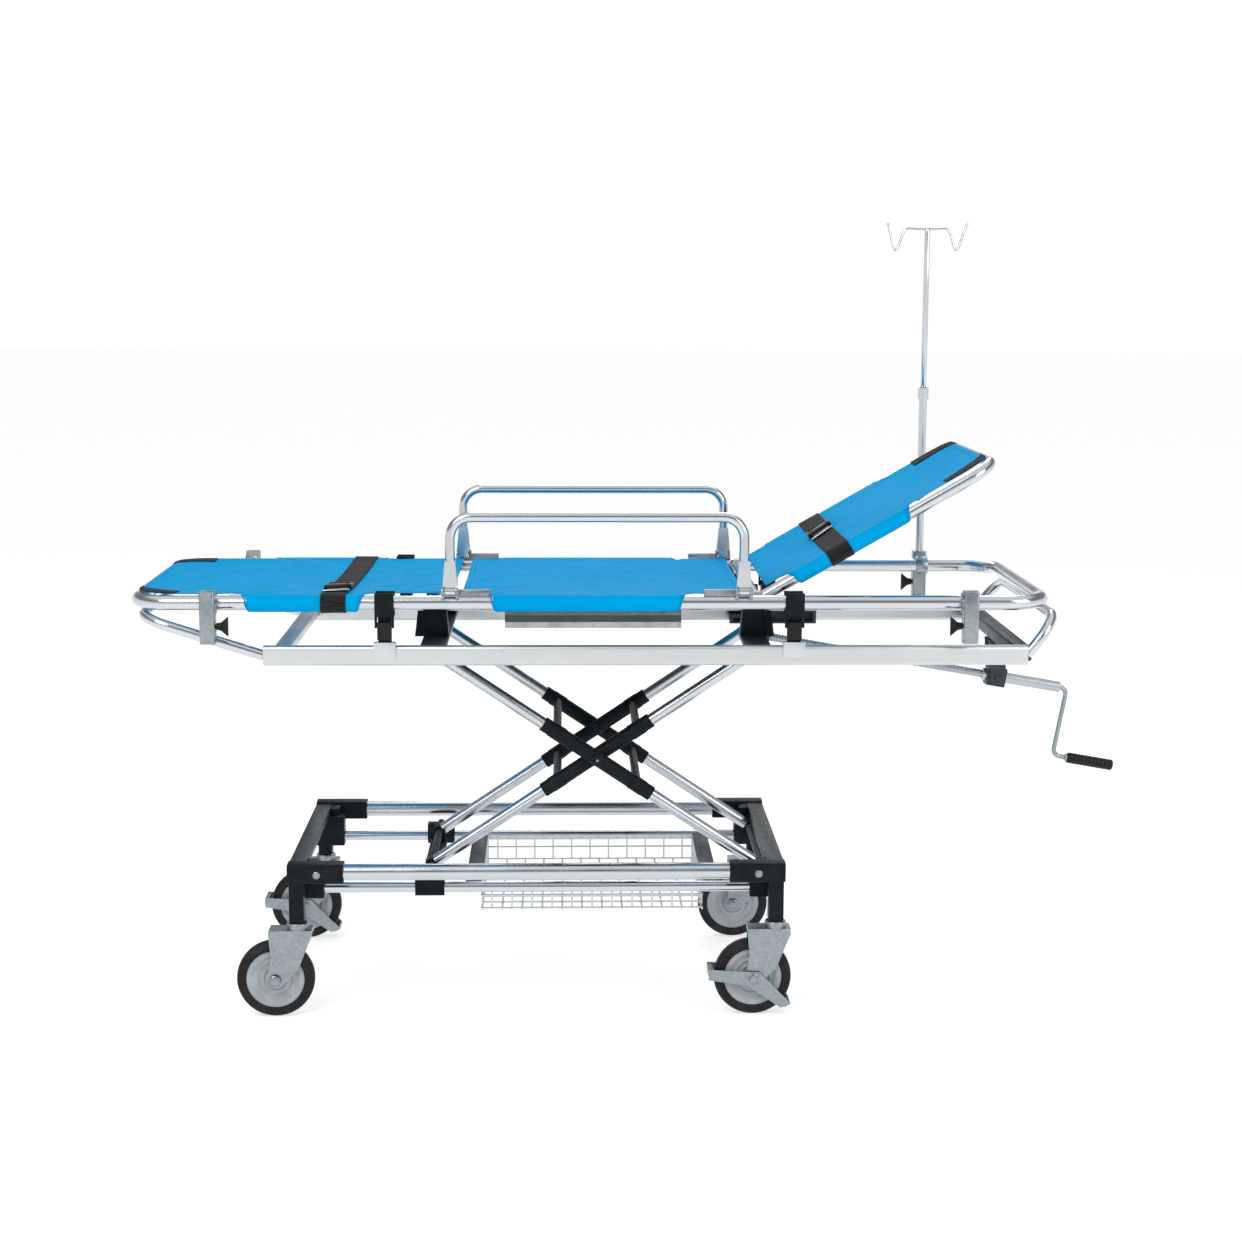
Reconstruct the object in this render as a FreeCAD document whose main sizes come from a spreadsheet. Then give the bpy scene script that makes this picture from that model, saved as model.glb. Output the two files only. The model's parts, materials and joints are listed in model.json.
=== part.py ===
import FreeCAD
import Part
import math
import os
import re
import Sketcher

# Stretcher trolley: a four-castor base, a crossed pair of lifting arms driven by a crank screw, and a
# deck that carries a lift-off stretcher with a backrest, folding guards and a drip pole.
# X runs from the foot end to the head end, Y from the near side to the far side, Z up from the floor.
# Every X below is measured from the middle of the base; base_x moves the whole trolley to its origin.

SIZES = {
    "base_x": -215.0,
    # base
    "base_half": 509, "base_tube_y": 262, "base_tube_z": 303, "base_tube_r": 17, "tube_wall": 2,
    "upper_arm_end": 395, "lower_arm_end": 441, "casting_top": 323, "leg_bottom": 201,
    "slide_y": 206, "slide_z": 254.5, "slide_r": 11, "basket_from": -118, "basket_to": 346,
    "basket_y": 189, "basket_floor": 201, "basket_top": 258, "wire_r": 2,
    # castors
    "stem_x": 491, "stem_r": 6, "trail": 46.5, "wheel_r": 80, "hub_r": 60, "tread": 30, "axle_r": 5,
    "axle_gap": 0.05, "fork_inside": 18, "fork_plate": 4, "fork_top": 199,
    # lifting arms
    "arm_length": 836, "arm_angle": 33.8, "foot_pivot_x": 471.8, "pivot_z": 285, "arm_a_y": 167,
    "arm_b_y": 133, "arm_r": 12.5, "sleeve_r": 15.5, "sleeve_length": 270, "tie_at": 200,
    "tie_r": 9, "head_r": 13, "pin_r": 7, "shaft_r": 8,
    # deck
    "deck_z": 757, "deck_rail_h": 40, "deck_rail_w": 22, "deck_y": 283, "deck_foot": -545,
    "deck_head": 990, "loop_r": 11, "loop_y": 283, "loop_bend": 60, "foot_loop_x": -790,
    "foot_loop_z": 834, "head_loop_x": 1048, "head_loop_z": 832, "track_from": 430, "track_to": 625,
    # screw and crank
    "bearing_x": 985, "bearing_z": 660, "screw_angle": 9.957, "screw_r": 8, "screw_free": 555,
    "bearing_half": 20, "trunnion_r": 6, "crank_shaft": 159, "crank_radius": 150, "crank_rod_r": 5,
    "crank_bend": 16, "sleeve_from": 26, "sleeve_to": 142, "grip_from": 32, "grip_to": 133,
    "grip_r": 12,
    # stretcher
    "rail_z": 863, "rail_r": 15, "rail_y": 283, "foot_x": -803, "head_x": 1029, "corner_bend": 80,
    "cross_r": 12.5, "cover_thick": 3, "cover_gap": 0.3, "leg_cover_to": -169, "leg_wrap_from": -579,
    "leg_wrap_to": -349, "seat_cover_from": -149, "seat_cover_to": 419, "seat_wrap_from": -89,
    "seat_wrap_to": 291, "pan_from": -63, "pan_bottom": 812, "pan_sheet": 3,
    "socket_y": 314, "socket_foot_x": -648.6, "socket_head_x": 866.5, "socket_bottom": 787,
    "socket_top": 891, "socket_w": 30, "strap_w": 50, "strap_thick": 3,
    "leg_strap_x": -396, "chest_strap_along": 192,
    # guards
    "guard_foot_x": -171, "guard_head_x": 415, "guard_z": 1035, "guard_r": 10, "guard_bend": 42,
    "guard_pin_out": 14, "guard_pin_z": 888, "guard_pin_r": 3,
    # backrest
    "back_x": 445, "back_angle": 30, "back_length": 548, "back_y": 245, "back_r": 12.5,
    "back_bend": 60, "back_wrap_from": 88, "back_wrap_to": 352,
    # drip pole
    "pole_r": 9, "pole_bottom": 790, "pole_top": 1262, "rod_r": 6.5, "rod_bottom": 1150,
    "rod_top": 1612, "hook_z": 1618, "hook_half": 48, "hook_bend": 20, "hook_drop": 32,
    "hook_wire": 2.5,
    # clamps between deck and stretcher
    "clamp_foot_x": -302, "clamp_head_x": 517, "clamp_w": 38, "lever_pin_y": 299.5, "lever_pin_z": 822,
}
SIDES = (("near", -1), ("far", 1))
ENDS = (("foot", -1), ("head", 1))
X_AXIS = FreeCAD.Vector(1, 0, 0)
Y_AXIS = FreeCAD.Vector(0, 1, 0)
Z_AXIS = FreeCAD.Vector(0, 0, 1)
UPRIGHT = FreeCAD.Rotation()
ALONG = {
    "x": FreeCAD.Rotation(Y_AXIS, 90),
    "y": FreeCAD.Rotation(X_AXIS, -90),
    "z": UPRIGHT,
}

doc = FreeCAD.newDocument("stretcher_trolley")
sheet = doc.addObject("Spreadsheet::Sheet", "sizes")
for row, (cell, number) in enumerate(SIZES.items(), 1):
    sheet.set(f"A{row}", cell)
    sheet.set(f"B{row}", str(number))
    sheet.setAlias(f"B{row}", cell)
doc.recompute()
NODES = []


# ---- small vocabulary ---------------------------------------------------------------------------

def formula(text):
    """A size written with plain cell names, as an expression that reads the sheet."""
    return re.sub(r"[a-z][a-z_]+", lambda word: cell_name(word.group(0)), str(text))


def cell_name(word):
    return "sizes." + word if word in SIZES else word


def value(text):
    """The number that a formula has now, for the first guess of a sketch."""
    return float(sheet.evalExpression(formula(text)))


def bind(thing, **sizes):
    for prop, text in sizes.items():
        thing.setExpression(prop, formula(text))
    return thing


def put(thing, x=0, y=0, z=0, turn=UPRIGHT, shift=(0, 0, 0), origin="base_x"):
    """Place a thing by its own origin, with shift in its turned axes for centring it."""
    thing.Placement = FreeCAD.Placement(FreeCAD.Vector(), turn)
    own = [turn.multVec(axis) for axis in (X_AXIS, Y_AXIS, Z_AXIS)]
    for letter, text in zip("xyz", (f"{origin} + {x}", y, z)):
        terms = [f"({text})"]
        for axis, amount in zip(own, shift):
            share = getattr(axis, letter)
            if amount != 0 and abs(share) > 1e-9:
                terms.append(f"({share:.10f}) * ({amount})")
        thing.setExpression("Placement.Base." + letter, formula(" + ".join(terms)))
    return thing


def box(name, length, width, height, x, y, z, turn=UPRIGHT, origin="base_x"):
    """A block given by its middle."""
    block = bind(doc.addObject("Part::Box", name), Length=length, Width=width, Height=height)
    middle = (f"-({length}) / 2", f"-({width}) / 2", f"-({height}) / 2")
    return put(block, x, y, z, turn, middle, origin)


def rod(name, radius, length, x, y, z, along="z", turn=None, origin="base_x"):
    """A round bar given by its middle."""
    bar = bind(doc.addObject("Part::Cylinder", name), Radius=radius, Height=length)
    return put(bar, x, y, z, turn or ALONG[along], (0, 0, f"-({length}) / 2"), origin)


def origin_plane(owner, role):
    return next(item for item in owner.Origin.OriginFeatures if item.Role == role)


def new_sketch(owner, role):
    sketch = owner.newObject("Sketcher::SketchObject", owner.Name + "_sketch")
    sketch.AttachmentSupport = [(origin_plane(owner, role), "")]
    sketch.MapMode = "FlatFace"
    return sketch


def tie(sketch, kind, *where, size):
    """A dimension of the sketch that reads the sheet."""
    index = sketch.addConstraint(Sketcher.Constraint(kind, *where, value(size)))
    sketch.setExpression(f"Constraints[{index}]", formula(size))


def draw_outline(sketch, points):
    """A closed outline of straight lines through points given as pairs of formulas."""
    spots = [FreeCAD.Vector(value(x), value(y), 0) for x, y in points]
    count = len(spots)
    for index in range(count):
        sketch.addGeometry(Part.LineSegment(spots[index], spots[(index + 1) % count]), False)
    for index in range(count):
        sketch.addConstraint(Sketcher.Constraint("Coincident", index, 2, (index + 1) % count, 1))
    for index, (x, y) in enumerate(points):
        tie(sketch, "DistanceX", -1, 1, index, 1, size=x)
        tie(sketch, "DistanceY", -1, 1, index, 1, size=y)


def draw_ring(sketch, radius, wall):
    """Two circles about the sketch's origin: the section of a tube."""
    for index, size in enumerate((radius, f"{radius} - ({wall})")):
        circle = Part.Circle(FreeCAD.Vector(), Z_AXIS, value(size))
        sketch.addGeometry(circle, False)
        sketch.addConstraint(Sketcher.Constraint("Coincident", index, 3, -1, 1))
        tie(sketch, "Radius", index, size=size)


def padded(name, role, draw, thickness, middle):
    """A body made by padding one sketch."""
    body = doc.addObject("PartDesign::Body", name)
    sketch = new_sketch(body, role)
    draw(sketch)
    pad = body.newObject("PartDesign::Pad", name + "_pad")
    pad.Profile = sketch
    pad.Midplane = middle
    bind(pad, Length=thickness)
    return body


def tube(name, radius, length, x, y, z, along="z", turn=None, wall="tube_wall", origin="base_x"):
    """A hollow round bar given by its middle."""
    body = padded(name, "XY_Plane", lambda sketch: draw_ring(sketch, radius, wall), length, True)
    return put(body, x, y, z, turn or ALONG[along], origin=origin)


def prism(name, points, thickness, x, y, z, turn=UPRIGHT, origin="base_x"):
    """An outline in the upright plane along the trolley, padded to both sides of it."""
    body = padded(name, "XZ_Plane", lambda sketch: draw_outline(sketch, points), thickness, True)
    return put(body, x, y, z, turn, origin=origin)


def turned(name, points, x, y, z, turn=UPRIGHT):
    """An outline of radius and height, turned once round its own upright axis."""
    body = doc.addObject("PartDesign::Body", name)
    sketch = new_sketch(body, "XZ_Plane")
    draw_outline(sketch, points)
    revolution = body.newObject("PartDesign::Revolution", name + "_turn")
    revolution.Profile = sketch
    revolution.ReferenceAxis = (sketch, ["V_Axis"])
    revolution.Angle = 360
    return put(body, x, y, z, turn)


def bend(name, bend_radius, radius, x, y, z, turn=UPRIGHT, wall=None, origin="base_x", angle=90):
    """Part of a ring about its own Z axis, starting on its own X axis; hollow if a wall is given."""
    outer = bind(doc.addObject("Part::Torus", name), Radius1=bend_radius, Radius2=radius)
    outer.Angle3 = angle
    put(outer, x, y, z, turn, origin=origin)
    if wall is None:
        return outer
    inner = bind(doc.addObject("Part::Torus", name + "_bore"), Radius1=bend_radius,
                 Radius2=f"{radius} - {wall}")
    inner.Angle3 = angle
    put(inner, x, y, z, turn, origin=origin)
    return cut(name + "_bend", outer, inner)


def cut(name, base, *tools):
    result = doc.addObject("Part::Cut", name)
    result.Base = base
    result.Tool = tools[0] if len(tools) == 1 else fuse(name + "_tools", *tools)
    return result


def fuse(name, *pieces):
    result = doc.addObject("Part::MultiFuse", name)
    result.Shapes = list(pieces)
    return result


def rounded(name, base, radius, edges):
    """Round the numbered edges of a block or a cylinder."""
    result = doc.addObject("Part::Fillet", name)
    result.Base = base
    result.Edges = [(edge, value(radius), value(radius)) for edge in edges]
    return result


def node(label, *pieces):
    """Name a sub-part; separate solids of one kind share it."""
    if len(pieces) == 1:
        part = pieces[0]
    else:
        part = doc.addObject("Part::Compound", label)
        part.Links = list(pieces)
    part.Label = label
    NODES.append(part)
    return part


def spin(degrees):
    return FreeCAD.Rotation(Z_AXIS, degrees)


BOX_EDGES_X = (9, 10, 11, 12)
CYLINDER_RIMS = (1, 3)


# ---- base -----------------------------------------------------------------------------------------

def base_tubes():
    length = "2 * (base_half - 20)"
    node("base_side_tubes", *[
        tube(f"base_side_tube_{side}", "base_tube_r", length, 0, f"{sign} * base_tube_y", "base_tube_z", "x")
        for side, sign in SIDES])
    node("slide_tubes", *[
        tube(f"slide_tube_{side}", "slide_r", "2 * (lower_arm_end + 30)", 0, f"{sign} * slide_y",
             "slide_z", "x")
        for side, sign in SIDES])


def corner_casting(side, sign, end, way):
    """One corner: an arm over the side tube, a lower inner arm for the slide tube, and a leg."""
    tag = f"{side}_{end}"
    tube_y = f"{sign} * base_tube_y"
    upper = rounded(f"upper_arm_{tag}", box(
        f"upper_arm_block_{tag}", "base_half - upper_arm_end", 40, "casting_top - 283",
        f"{way} * (base_half + upper_arm_end) / 2", tube_y, "(casting_top + 283) / 2"), "6", BOX_EDGES_X)
    lower = box(f"lower_arm_{tag}", "base_half - lower_arm_end", 34, 66,
                f"{way} * (base_half + lower_arm_end) / 2", f"{sign} * slide_y", 269)
    web = box(f"web_{tag}", 56, "base_tube_y - slide_y", 34, f"{way} * (base_half - 28)",
              f"{sign} * (base_tube_y + slide_y) / 2", 300)
    leg = box(f"leg_{tag}", 30, 36, "290 - leg_bottom", f"{way} * stem_x", tube_y,
              "(290 + leg_bottom) / 2")
    body = fuse(f"casting_body_{tag}", upper, lower, web, leg)
    side_bore = rod(f"side_bore_{tag}", "base_tube_r", "2 * (base_half - 20)", 0, tube_y, "base_tube_z", "x")
    slide_bore = rod(f"slide_bore_{tag}", "slide_r", "2 * (lower_arm_end + 30)", 0, f"{sign} * slide_y",
                     "slide_z", "x")
    stem_bore = rod(f"stem_bore_{tag}", "stem_r + axle_gap", 60, f"{way} * stem_x", tube_y,
                    "leg_bottom + 10")
    tools = [side_bore, slide_bore, stem_bore]
    if end == "head":
        tools.append(rod(f"shaft_bore_{tag}", "shaft_r", "2 * slide_y", "foot_pivot_x", 0, "pivot_z", "y"))
    bar_slot = box(f"bar_slot_{tag}", 34, "2 * (base_tube_y - 24)", 17, f"{way} * stem_x", 0, 311)
    return cut(f"casting_{tag}", body, *tools, bar_slot)


def base_cross_members():
    """Flat end bars, the bars that carry the basket, and the shaft that the fixed arms turn on."""
    pieces = [box(f"end_bar_{end}", 34, "2 * (base_tube_y - 24)", 17, f"{way} * stem_x", 0, 311)
              for end, way in ENDS]
    for name, x in (("foot", "basket_from - 16"), ("head", "basket_to + 16")):
        pieces.append(box(f"basket_bar_{name}", 32, "2 * (slide_y - slide_r)", 16, x, 0, "slide_z"))
    pieces.append(rod("arm_foot_shaft", "shaft_r", "2 * slide_y", "foot_pivot_x", 0, "pivot_z", "y"))
    node("base_cross_members", *pieces)


def wire_row(name, count, first, step, along, length, x, y, z):
    """Evenly spaced wires; first and step count along the axis that the wires are spread on."""
    wires = []
    for index in range(count):
        spot = f"{first} + {index} * ({step})"
        place = (spot if x is None else x, spot if y is None else y, spot if z is None else z)
        wires.append(rod(f"{name}_{index + 1}", "wire_r", length, *place, along))
    return wires


def basket():
    """A wire basket hung between the slide tubes: five flat grilles that meet at their edges."""
    long_way = "(basket_to - basket_from)"
    middle = "(basket_from + basket_to) / 2"
    cross = wire_row("floor_cross", 12, "basket_from + wire_r", f"({long_way} - 2 * wire_r) / 11", "y",
                     "2 * basket_y", None, 0, "basket_floor")
    lines = wire_row("floor_line", 10, "-basket_y", "2 * basket_y / 9", "x", long_way, middle, None,
                     "basket_floor + 1.5 * wire_r")
    grilles = [fuse("basket_floor", *cross, *lines)]
    low = "(basket_floor + 2.5 * wire_r)"
    height = f"(basket_top - {low})"
    for side, sign in SIDES:
        posts = wire_row(f"side_post_{side}", 11, "basket_from + 23", f"({long_way} - 46) / 10", "z", height,
                         None, f"{sign} * basket_y", f"(basket_top + {low}) / 2")
        rims = [rod(f"side_rim_{side}_{level}", "wire_r", long_way, middle, f"{sign} * basket_y", z, "x")
                for level, z in (("top", "basket_top"), ("mid", f"(basket_top + {low}) / 2"))]
        grilles.append(fuse(f"basket_side_{side}", *posts, *rims))
    for end, x in (("foot", "basket_from + wire_r"), ("head", "basket_to - wire_r")):
        width = "2 * (basket_y - 2 * wire_r)"
        posts = wire_row(f"end_post_{end}", 9, "-basket_y + 21", "(2 * basket_y - 42) / 8", "z", height,
                         x, None, f"(basket_top + {low}) / 2")
        rims = [rod(f"end_rim_{end}_{level}", "wire_r", width, x, 0, z, "y")
                for level, z in (("top", "basket_top"), ("mid", f"(basket_top + {low}) / 2"))]
        grilles.append(fuse(f"basket_end_{end}", *posts, *rims))
    node("wire_basket", *grilles)


# ---- castors --------------------------------------------------------------------------------------

def castor(tag, side_sign, way, braked):
    stem = f"{way} * stem_x"
    axle = f"{way} * stem_x - trail"
    y = f"{side_sign} * base_tube_y"
    plates = []
    for name, sign in SIDES:
        profile = [("-trail - 17", "wheel_r - 10"), ("-trail + 15", "wheel_r - 12"), ("2", "wheel_r + 22"),
                   ("17", "wheel_r + 62"), ("30", "fork_top - 26"), ("30", "fork_top - 14"),
                   ("-58", "fork_top - 14"), ("-58", "fork_top - 26"), ("-trail - 8", "wheel_r + 52")]
        plates.append(prism(f"fork_plate_{tag}_{name}", profile, "fork_plate", stem,
                            f"{y} + {sign} * (fork_inside + fork_plate / 2)", 0))
        plates.append(rod(f"fork_eye_{tag}_{name}", 17, "fork_plate", axle,
                          f"{y} + {sign} * (fork_inside + fork_plate / 2)", "wheel_r", "y"))
    bridge = box(f"fork_bridge_{tag}", 88, "2 * (fork_inside + fork_plate)", 6, f"{stem} - 14", y,
                 "fork_top - 17")
    crown = rounded(f"crown_{tag}", rod(f"crown_blank_{tag}", 22, 20, stem, y, "fork_top - 10"), "4",
                    CYLINDER_RIMS)
    stud = rod(f"stem_{tag}", "stem_r", 40, stem, y, "fork_top + 19")
    axle_rod = rod(f"axle_{tag}", "axle_r", "2 * (fork_inside + fork_plate + 9)", axle, y, "wheel_r", "y")
    nuts = [rod(f"axle_nut_{tag}_{name}", 8.5, 4, axle, f"{y} + {sign} * (fork_inside + fork_plate + 7.5)",
                "wheel_r", "y") for name, sign in SIDES]
    node(f"castor_fork_{tag}", fuse(f"fork_{tag}", *plates, bridge, crown, stud, axle_rod, *nuts))

    blank = rounded(f"tyre_round_{tag}",
                    rod(f"tyre_blank_{tag}", "wheel_r", "tread", axle, y, "wheel_r", "y"), "8",
                    CYLINDER_RIMS)
    seat = rod(f"tyre_seat_{tag}", "hub_r", "tread + 2", axle, y, "wheel_r", "y")
    node(f"castor_tyre_{tag}", cut(f"tyre_{tag}", blank, seat))

    bore = "axle_r + axle_gap"
    hub = [(bore, "-fork_inside + 1"), ("14", "-fork_inside + 1"), ("16", "-9"), ("44", "-7"),
           ("52", "-12"), ("hub_r", "-12"), ("hub_r", "12"), ("52", "12"), ("44", "7"), ("16", "9"),
           ("14", "fork_inside - 1"), (bore, "fork_inside - 1")]
    node(f"castor_hub_{tag}", turned(f"hub_{tag}", hub, axle, y, "wheel_r", ALONG["y"]))

    if braked:
        sides = []
        for name, sign in SIDES:
            lever = [("-92", "20"), ("-92", "-2"), ("-12", "-15"), ("58", "-62"), ("77", "-52"),
                     ("14", "14")]
            sides.append(prism(f"pedal_side_{tag}_{name}", lever, 3, axle,
                               f"{y} + {sign} * (fork_inside + fork_plate + 3.5)", "wheel_r"))
        reach = "2 * (fork_inside + fork_plate + 4)"
        toe = box(f"pedal_toe_{tag}", 9, reach, 12, f"{axle} - 88", y, "wheel_r + 12")
        heel = box(f"pedal_heel_{tag}", 16, reach, 5, f"{axle} + 70", y, "wheel_r - 56",
                   FreeCAD.Rotation(Y_AXIS, -27))
        pedal = fuse(f"pedal_solid_{tag}", *sides, toe, heel)
        pivot = rod(f"pedal_bore_{tag}", bore, 90, axle, y, "wheel_r", "y")
        node(f"brake_pedal_{tag}", cut(f"pedal_{tag}", pedal, pivot))


# ---- lifting arms ---------------------------------------------------------------------------------

LEVELS = (("low", -1), ("top", 1))
HALF_X = "arm_length / 2 * cos(arm_angle)"
HALF_Z = "arm_length / 2 * sin(arm_angle)"
CENTRE_X = f"(foot_pivot_x - {HALF_X})"
CENTRE_Z = f"(pivot_z + {HALF_Z})"
TOP_X = f"(foot_pivot_x - 2 * {HALF_X})"
TOP_Z = f"(pivot_z + 2 * {HALF_Z})"
REST_FOOT_X = f"({TOP_X} + 16)"


def arm_pair(tag, lean, arm_y, pin_bore_r):
    """Two parallel tubes leaning one way, joined by moulded sleeves and ties round the middle."""
    tilt = FreeCAD.Rotation(Y_AXIS, lean * (90 - SIZES["arm_angle"]))
    tubes, braces, heads = [], [], []
    lugs = {level: [] for level, way in LEVELS}

    def along_arm(way, distance):
        return (f"{CENTRE_X} + {way * lean} * cos(arm_angle) * ({distance})",
                f"{CENTRE_Z} + {way} * sin(arm_angle) * ({distance})")

    for side, sign in SIDES:
        y = f"{sign} * {arm_y}"
        name = f"{tag}_{side}"
        plain = tube(f"{name}_tube", "arm_r", "arm_length - 20", CENTRE_X, y, CENTRE_Z, turn=tilt)
        hole = rod(f"{name}_tube_hole", "pin_r + 2", 60, CENTRE_X, y, CENTRE_Z, "y")
        tubes.append(cut(f"{name}_arm", plain, hole))
        core = rod(f"{name}_core", "arm_r", "arm_length", CENTRE_X, y, CENTRE_Z, turn=tilt)
        shell = rod(f"{name}_sleeve", "sleeve_r", "sleeve_length", CENTRE_X, y, CENTRE_Z, turn=tilt)
        for level, way in LEVELS:
            x, z = along_arm(way, "tie_at / 2")
            lugs[level].append(rod(f"{name}_lug_{level}", "sleeve_r + 1", 30, x, y, z, turn=tilt))
        outside = cut(f"{name}_cover", fuse(f"{name}_shell", shell, *[lugs[level][-1] for level in lugs]),
                      core)
        boss = rod(f"{name}_boss", "pin_r + 2", "2 * sleeve_r", CENTRE_X, y, CENTRE_Z, "y")
        pin_bore = rod(f"{name}_pin_bore", pin_bore_r, 60, CENTRE_X, y, CENTRE_Z, "y")
        braces.append(cut(f"{name}_brace", fuse(f"{name}_brace_body", outside, boss), pin_bore))
        for level, way in LEVELS:
            x, z = along_arm(way, "arm_length / 2")
            neck_x, neck_z = along_arm(way, "arm_length / 2 - 35")
            eye = rod(f"{name}_eye_{level}", "head_r", 22, x, y, z, "y")
            neck = rod(f"{name}_neck_{level}", "arm_r - tube_wall", 70, neck_x, y, neck_z, turn=tilt)
            wall = tube(f"{name}_wall_{level}", "arm_r + 3", "arm_length - 20", CENTRE_X, y, CENTRE_Z,
                        turn=tilt, wall="3 + tube_wall")
            eye_bore = rod(f"{name}_eye_bore_{level}", "shaft_r + axle_gap", 60, x, y, z, "y")
            head = fuse(f"{name}_head_body_{level}", eye, neck)
            heads.append(cut(f"{name}_head_{level}", head, eye_bore, wall))
    for level, way in LEVELS:
        x, z = along_arm(way, "tie_at / 2")
        bar = rod(f"{tag}_tie_bar_{level}", "tie_r", f"2 * ({arm_y} - arm_r)", x, 0, z, "y")
        braces.append(cut(f"{tag}_tie_{level}", bar, *lugs[level]))
    node(f"{tag}_tubes", *tubes)
    node(f"{tag}_braces", *braces)
    return heads


def lifting_arms():
    heads = arm_pair("arm_a", -1, "arm_a_y", "pin_r")
    inner = "arm_b_y - sleeve_r - 2"
    outer = "arm_a_y + sleeve_r + 2"
    for side, sign in SIDES:
        pin = rod(f"centre_pin_{side}", "pin_r", f"{outer} - ({inner})", CENTRE_X,
                  f"{sign} * ({outer} + {inner}) / 2", CENTRE_Z, "y")
        caps = [rod(f"pin_cap_{side}_{name}", 12, 4, CENTRE_X, f"{sign} * ({y})", CENTRE_Z, "y")
                for name, y in (("in", f"{inner} - 1"), ("out", f"{outer} + 1"))]
        heads.append(fuse(f"scissor_pin_{side}", pin, *caps))
    node("arm_a_fittings", *heads)
    node("arm_b_fittings", *arm_pair("arm_b", 1, "arm_b_y", "pin_r + axle_gap"))


def foot_carriage():
    """Blocks that slide on the lower base tubes and carry the sliding feet of the inner arms."""
    x = TOP_X
    pieces = []
    for side, sign in SIDES:
        y = f"{sign} * slide_y"
        pieces.append(rounded(f"slide_block_{side}", box(
            f"slide_block_raw_{side}", 60, 34, 44, x, y, 262), "5", BOX_EDGES_X))
    plate = box("carriage_plate", 36, "2 * (arm_b_y - 16)", 10, x, 0, 264)
    shaft = rod("carriage_shaft", "shaft_r", "2 * slide_y", x, 0, "pivot_z", "y")
    webs = [box(f"carriage_web_{side}", 30, 12, 30, x, f"{sign} * (arm_b_y - 20)", 273)
            for side, sign in SIDES]
    body = fuse("carriage_body", *pieces, plate, shaft, *webs)
    bores = [rod(f"carriage_bore_{side}", "slide_r + cover_gap", 120, x, f"{sign} * slide_y", "slide_z", "x")
             for side, sign in SIDES]
    node("foot_carriage", cut("carriage", body, *bores))


def lift_shaft():
    """The cross shaft at the top of the inner arms, pulled along the deck by its nut."""
    halves = []
    for side, sign in SIDES:
        y = f"{sign} * (20 + (deck_y - 17)) / 2"
        shaft = rod(f"lift_half_{side}", "shaft_r", "deck_y - 17 - 20", "foot_pivot_x", y, TOP_Z, "y")
        roller = rod(f"lift_roller_{side}", 11, 20, "foot_pivot_x", f"{sign} * (deck_y - 25.5)", TOP_Z, "y")
        halves.append(fuse(f"lift_shaft_{side}", shaft, roller))
    node("lift_shaft", *halves)
    block = rounded("nut_round", box("nut_block", 46, 40, 34, "foot_pivot_x", 0, TOP_Z, SCREW_TILT), "4",
                    BOX_EDGES_X)
    bore = rod("nut_bore", "screw_r + 2.4", 90, "foot_pivot_x", 0, TOP_Z, turn=SCREW_TURN)
    node("lift_nut", cut("nut", block, bore))


# ---- deck -----------------------------------------------------------------------------------------

def deck_frame():
    middle = "(deck_foot + deck_head) / 2"
    rails = []
    for side, sign in SIDES:
        y = f"{sign} * deck_y"
        outer = rounded(f"deck_rail_round_{side}", box(
            f"deck_rail_{side}", "deck_head - deck_foot", "deck_rail_w", "deck_rail_h", middle, y, "deck_z"),
            "7", BOX_EDGES_X)
        inner = box(f"deck_rail_hollow_{side}", "deck_head - deck_foot + 2", "deck_rail_w - 6",
                    "deck_rail_h - 14", middle, y, "deck_z")
        rails.append(cut(f"deck_rail_tube_{side}", outer, inner))
    node("deck_rails", *rails)

    width = "2 * (deck_y - deck_rail_w / 2)"
    bars = [
        box("deck_bar_foot", 32, width, 16, "deck_foot + 30", 0, "deck_z"),
        box("deck_bar_fixed", 52, width, 8, REST_FOOT_X, 0, "deck_z + 15"),
        rounded("deck_bar_screw", box("deck_bar_screw_raw", 34, width, 30, "bearing_x", 0, "deck_z"), "6",
                (2, 4, 6, 8)),
        rod("fixed_pivot_shaft", "shaft_r", width, TOP_X, 0, TOP_Z, "y"),
    ]
    for side, sign in SIDES:
        y = f"{sign} * (deck_y - deck_rail_w / 2 - 13)"
        shelf_reach = "(deck_y - deck_rail_w / 2 - 125)"
        bars.append(box(f"rest_shelf_{side}", 52, shelf_reach, 8, "back_x",
                        f"{sign} * (125 + {shelf_reach} / 2)", "deck_z + 15"))
        plate = box(f"track_{side}", "track_to - track_from", 26, 31, "(track_to + track_from) / 2", y,
                    TOP_Z)
        slot = box(f"track_slot_{side}", "track_to - track_from - 16", 26, 22.4,
                   "(track_to + track_from) / 2", f"{y} - {sign} * 4", TOP_Z)
        bars.append(cut(f"track_channel_{side}", plate, slot))
        ear = prism(f"bearing_ear_{side}", [("-20", "deck_z - 15"), ("-14", "bearing_z - 14"),
                                            ("14", "bearing_z - 14"), ("20", "deck_z - 15")],
                    6, "bearing_x", f"{sign} * 26", 0)
        eye = rod(f"bearing_eye_{side}", "trunnion_r + axle_gap", 20, "bearing_x", f"{sign} * 26",
                  "bearing_z", "y")
        bars.append(cut(f"bearing_hanger_{side}", ear, eye))
    node("deck_cross_members", *bars)


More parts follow.
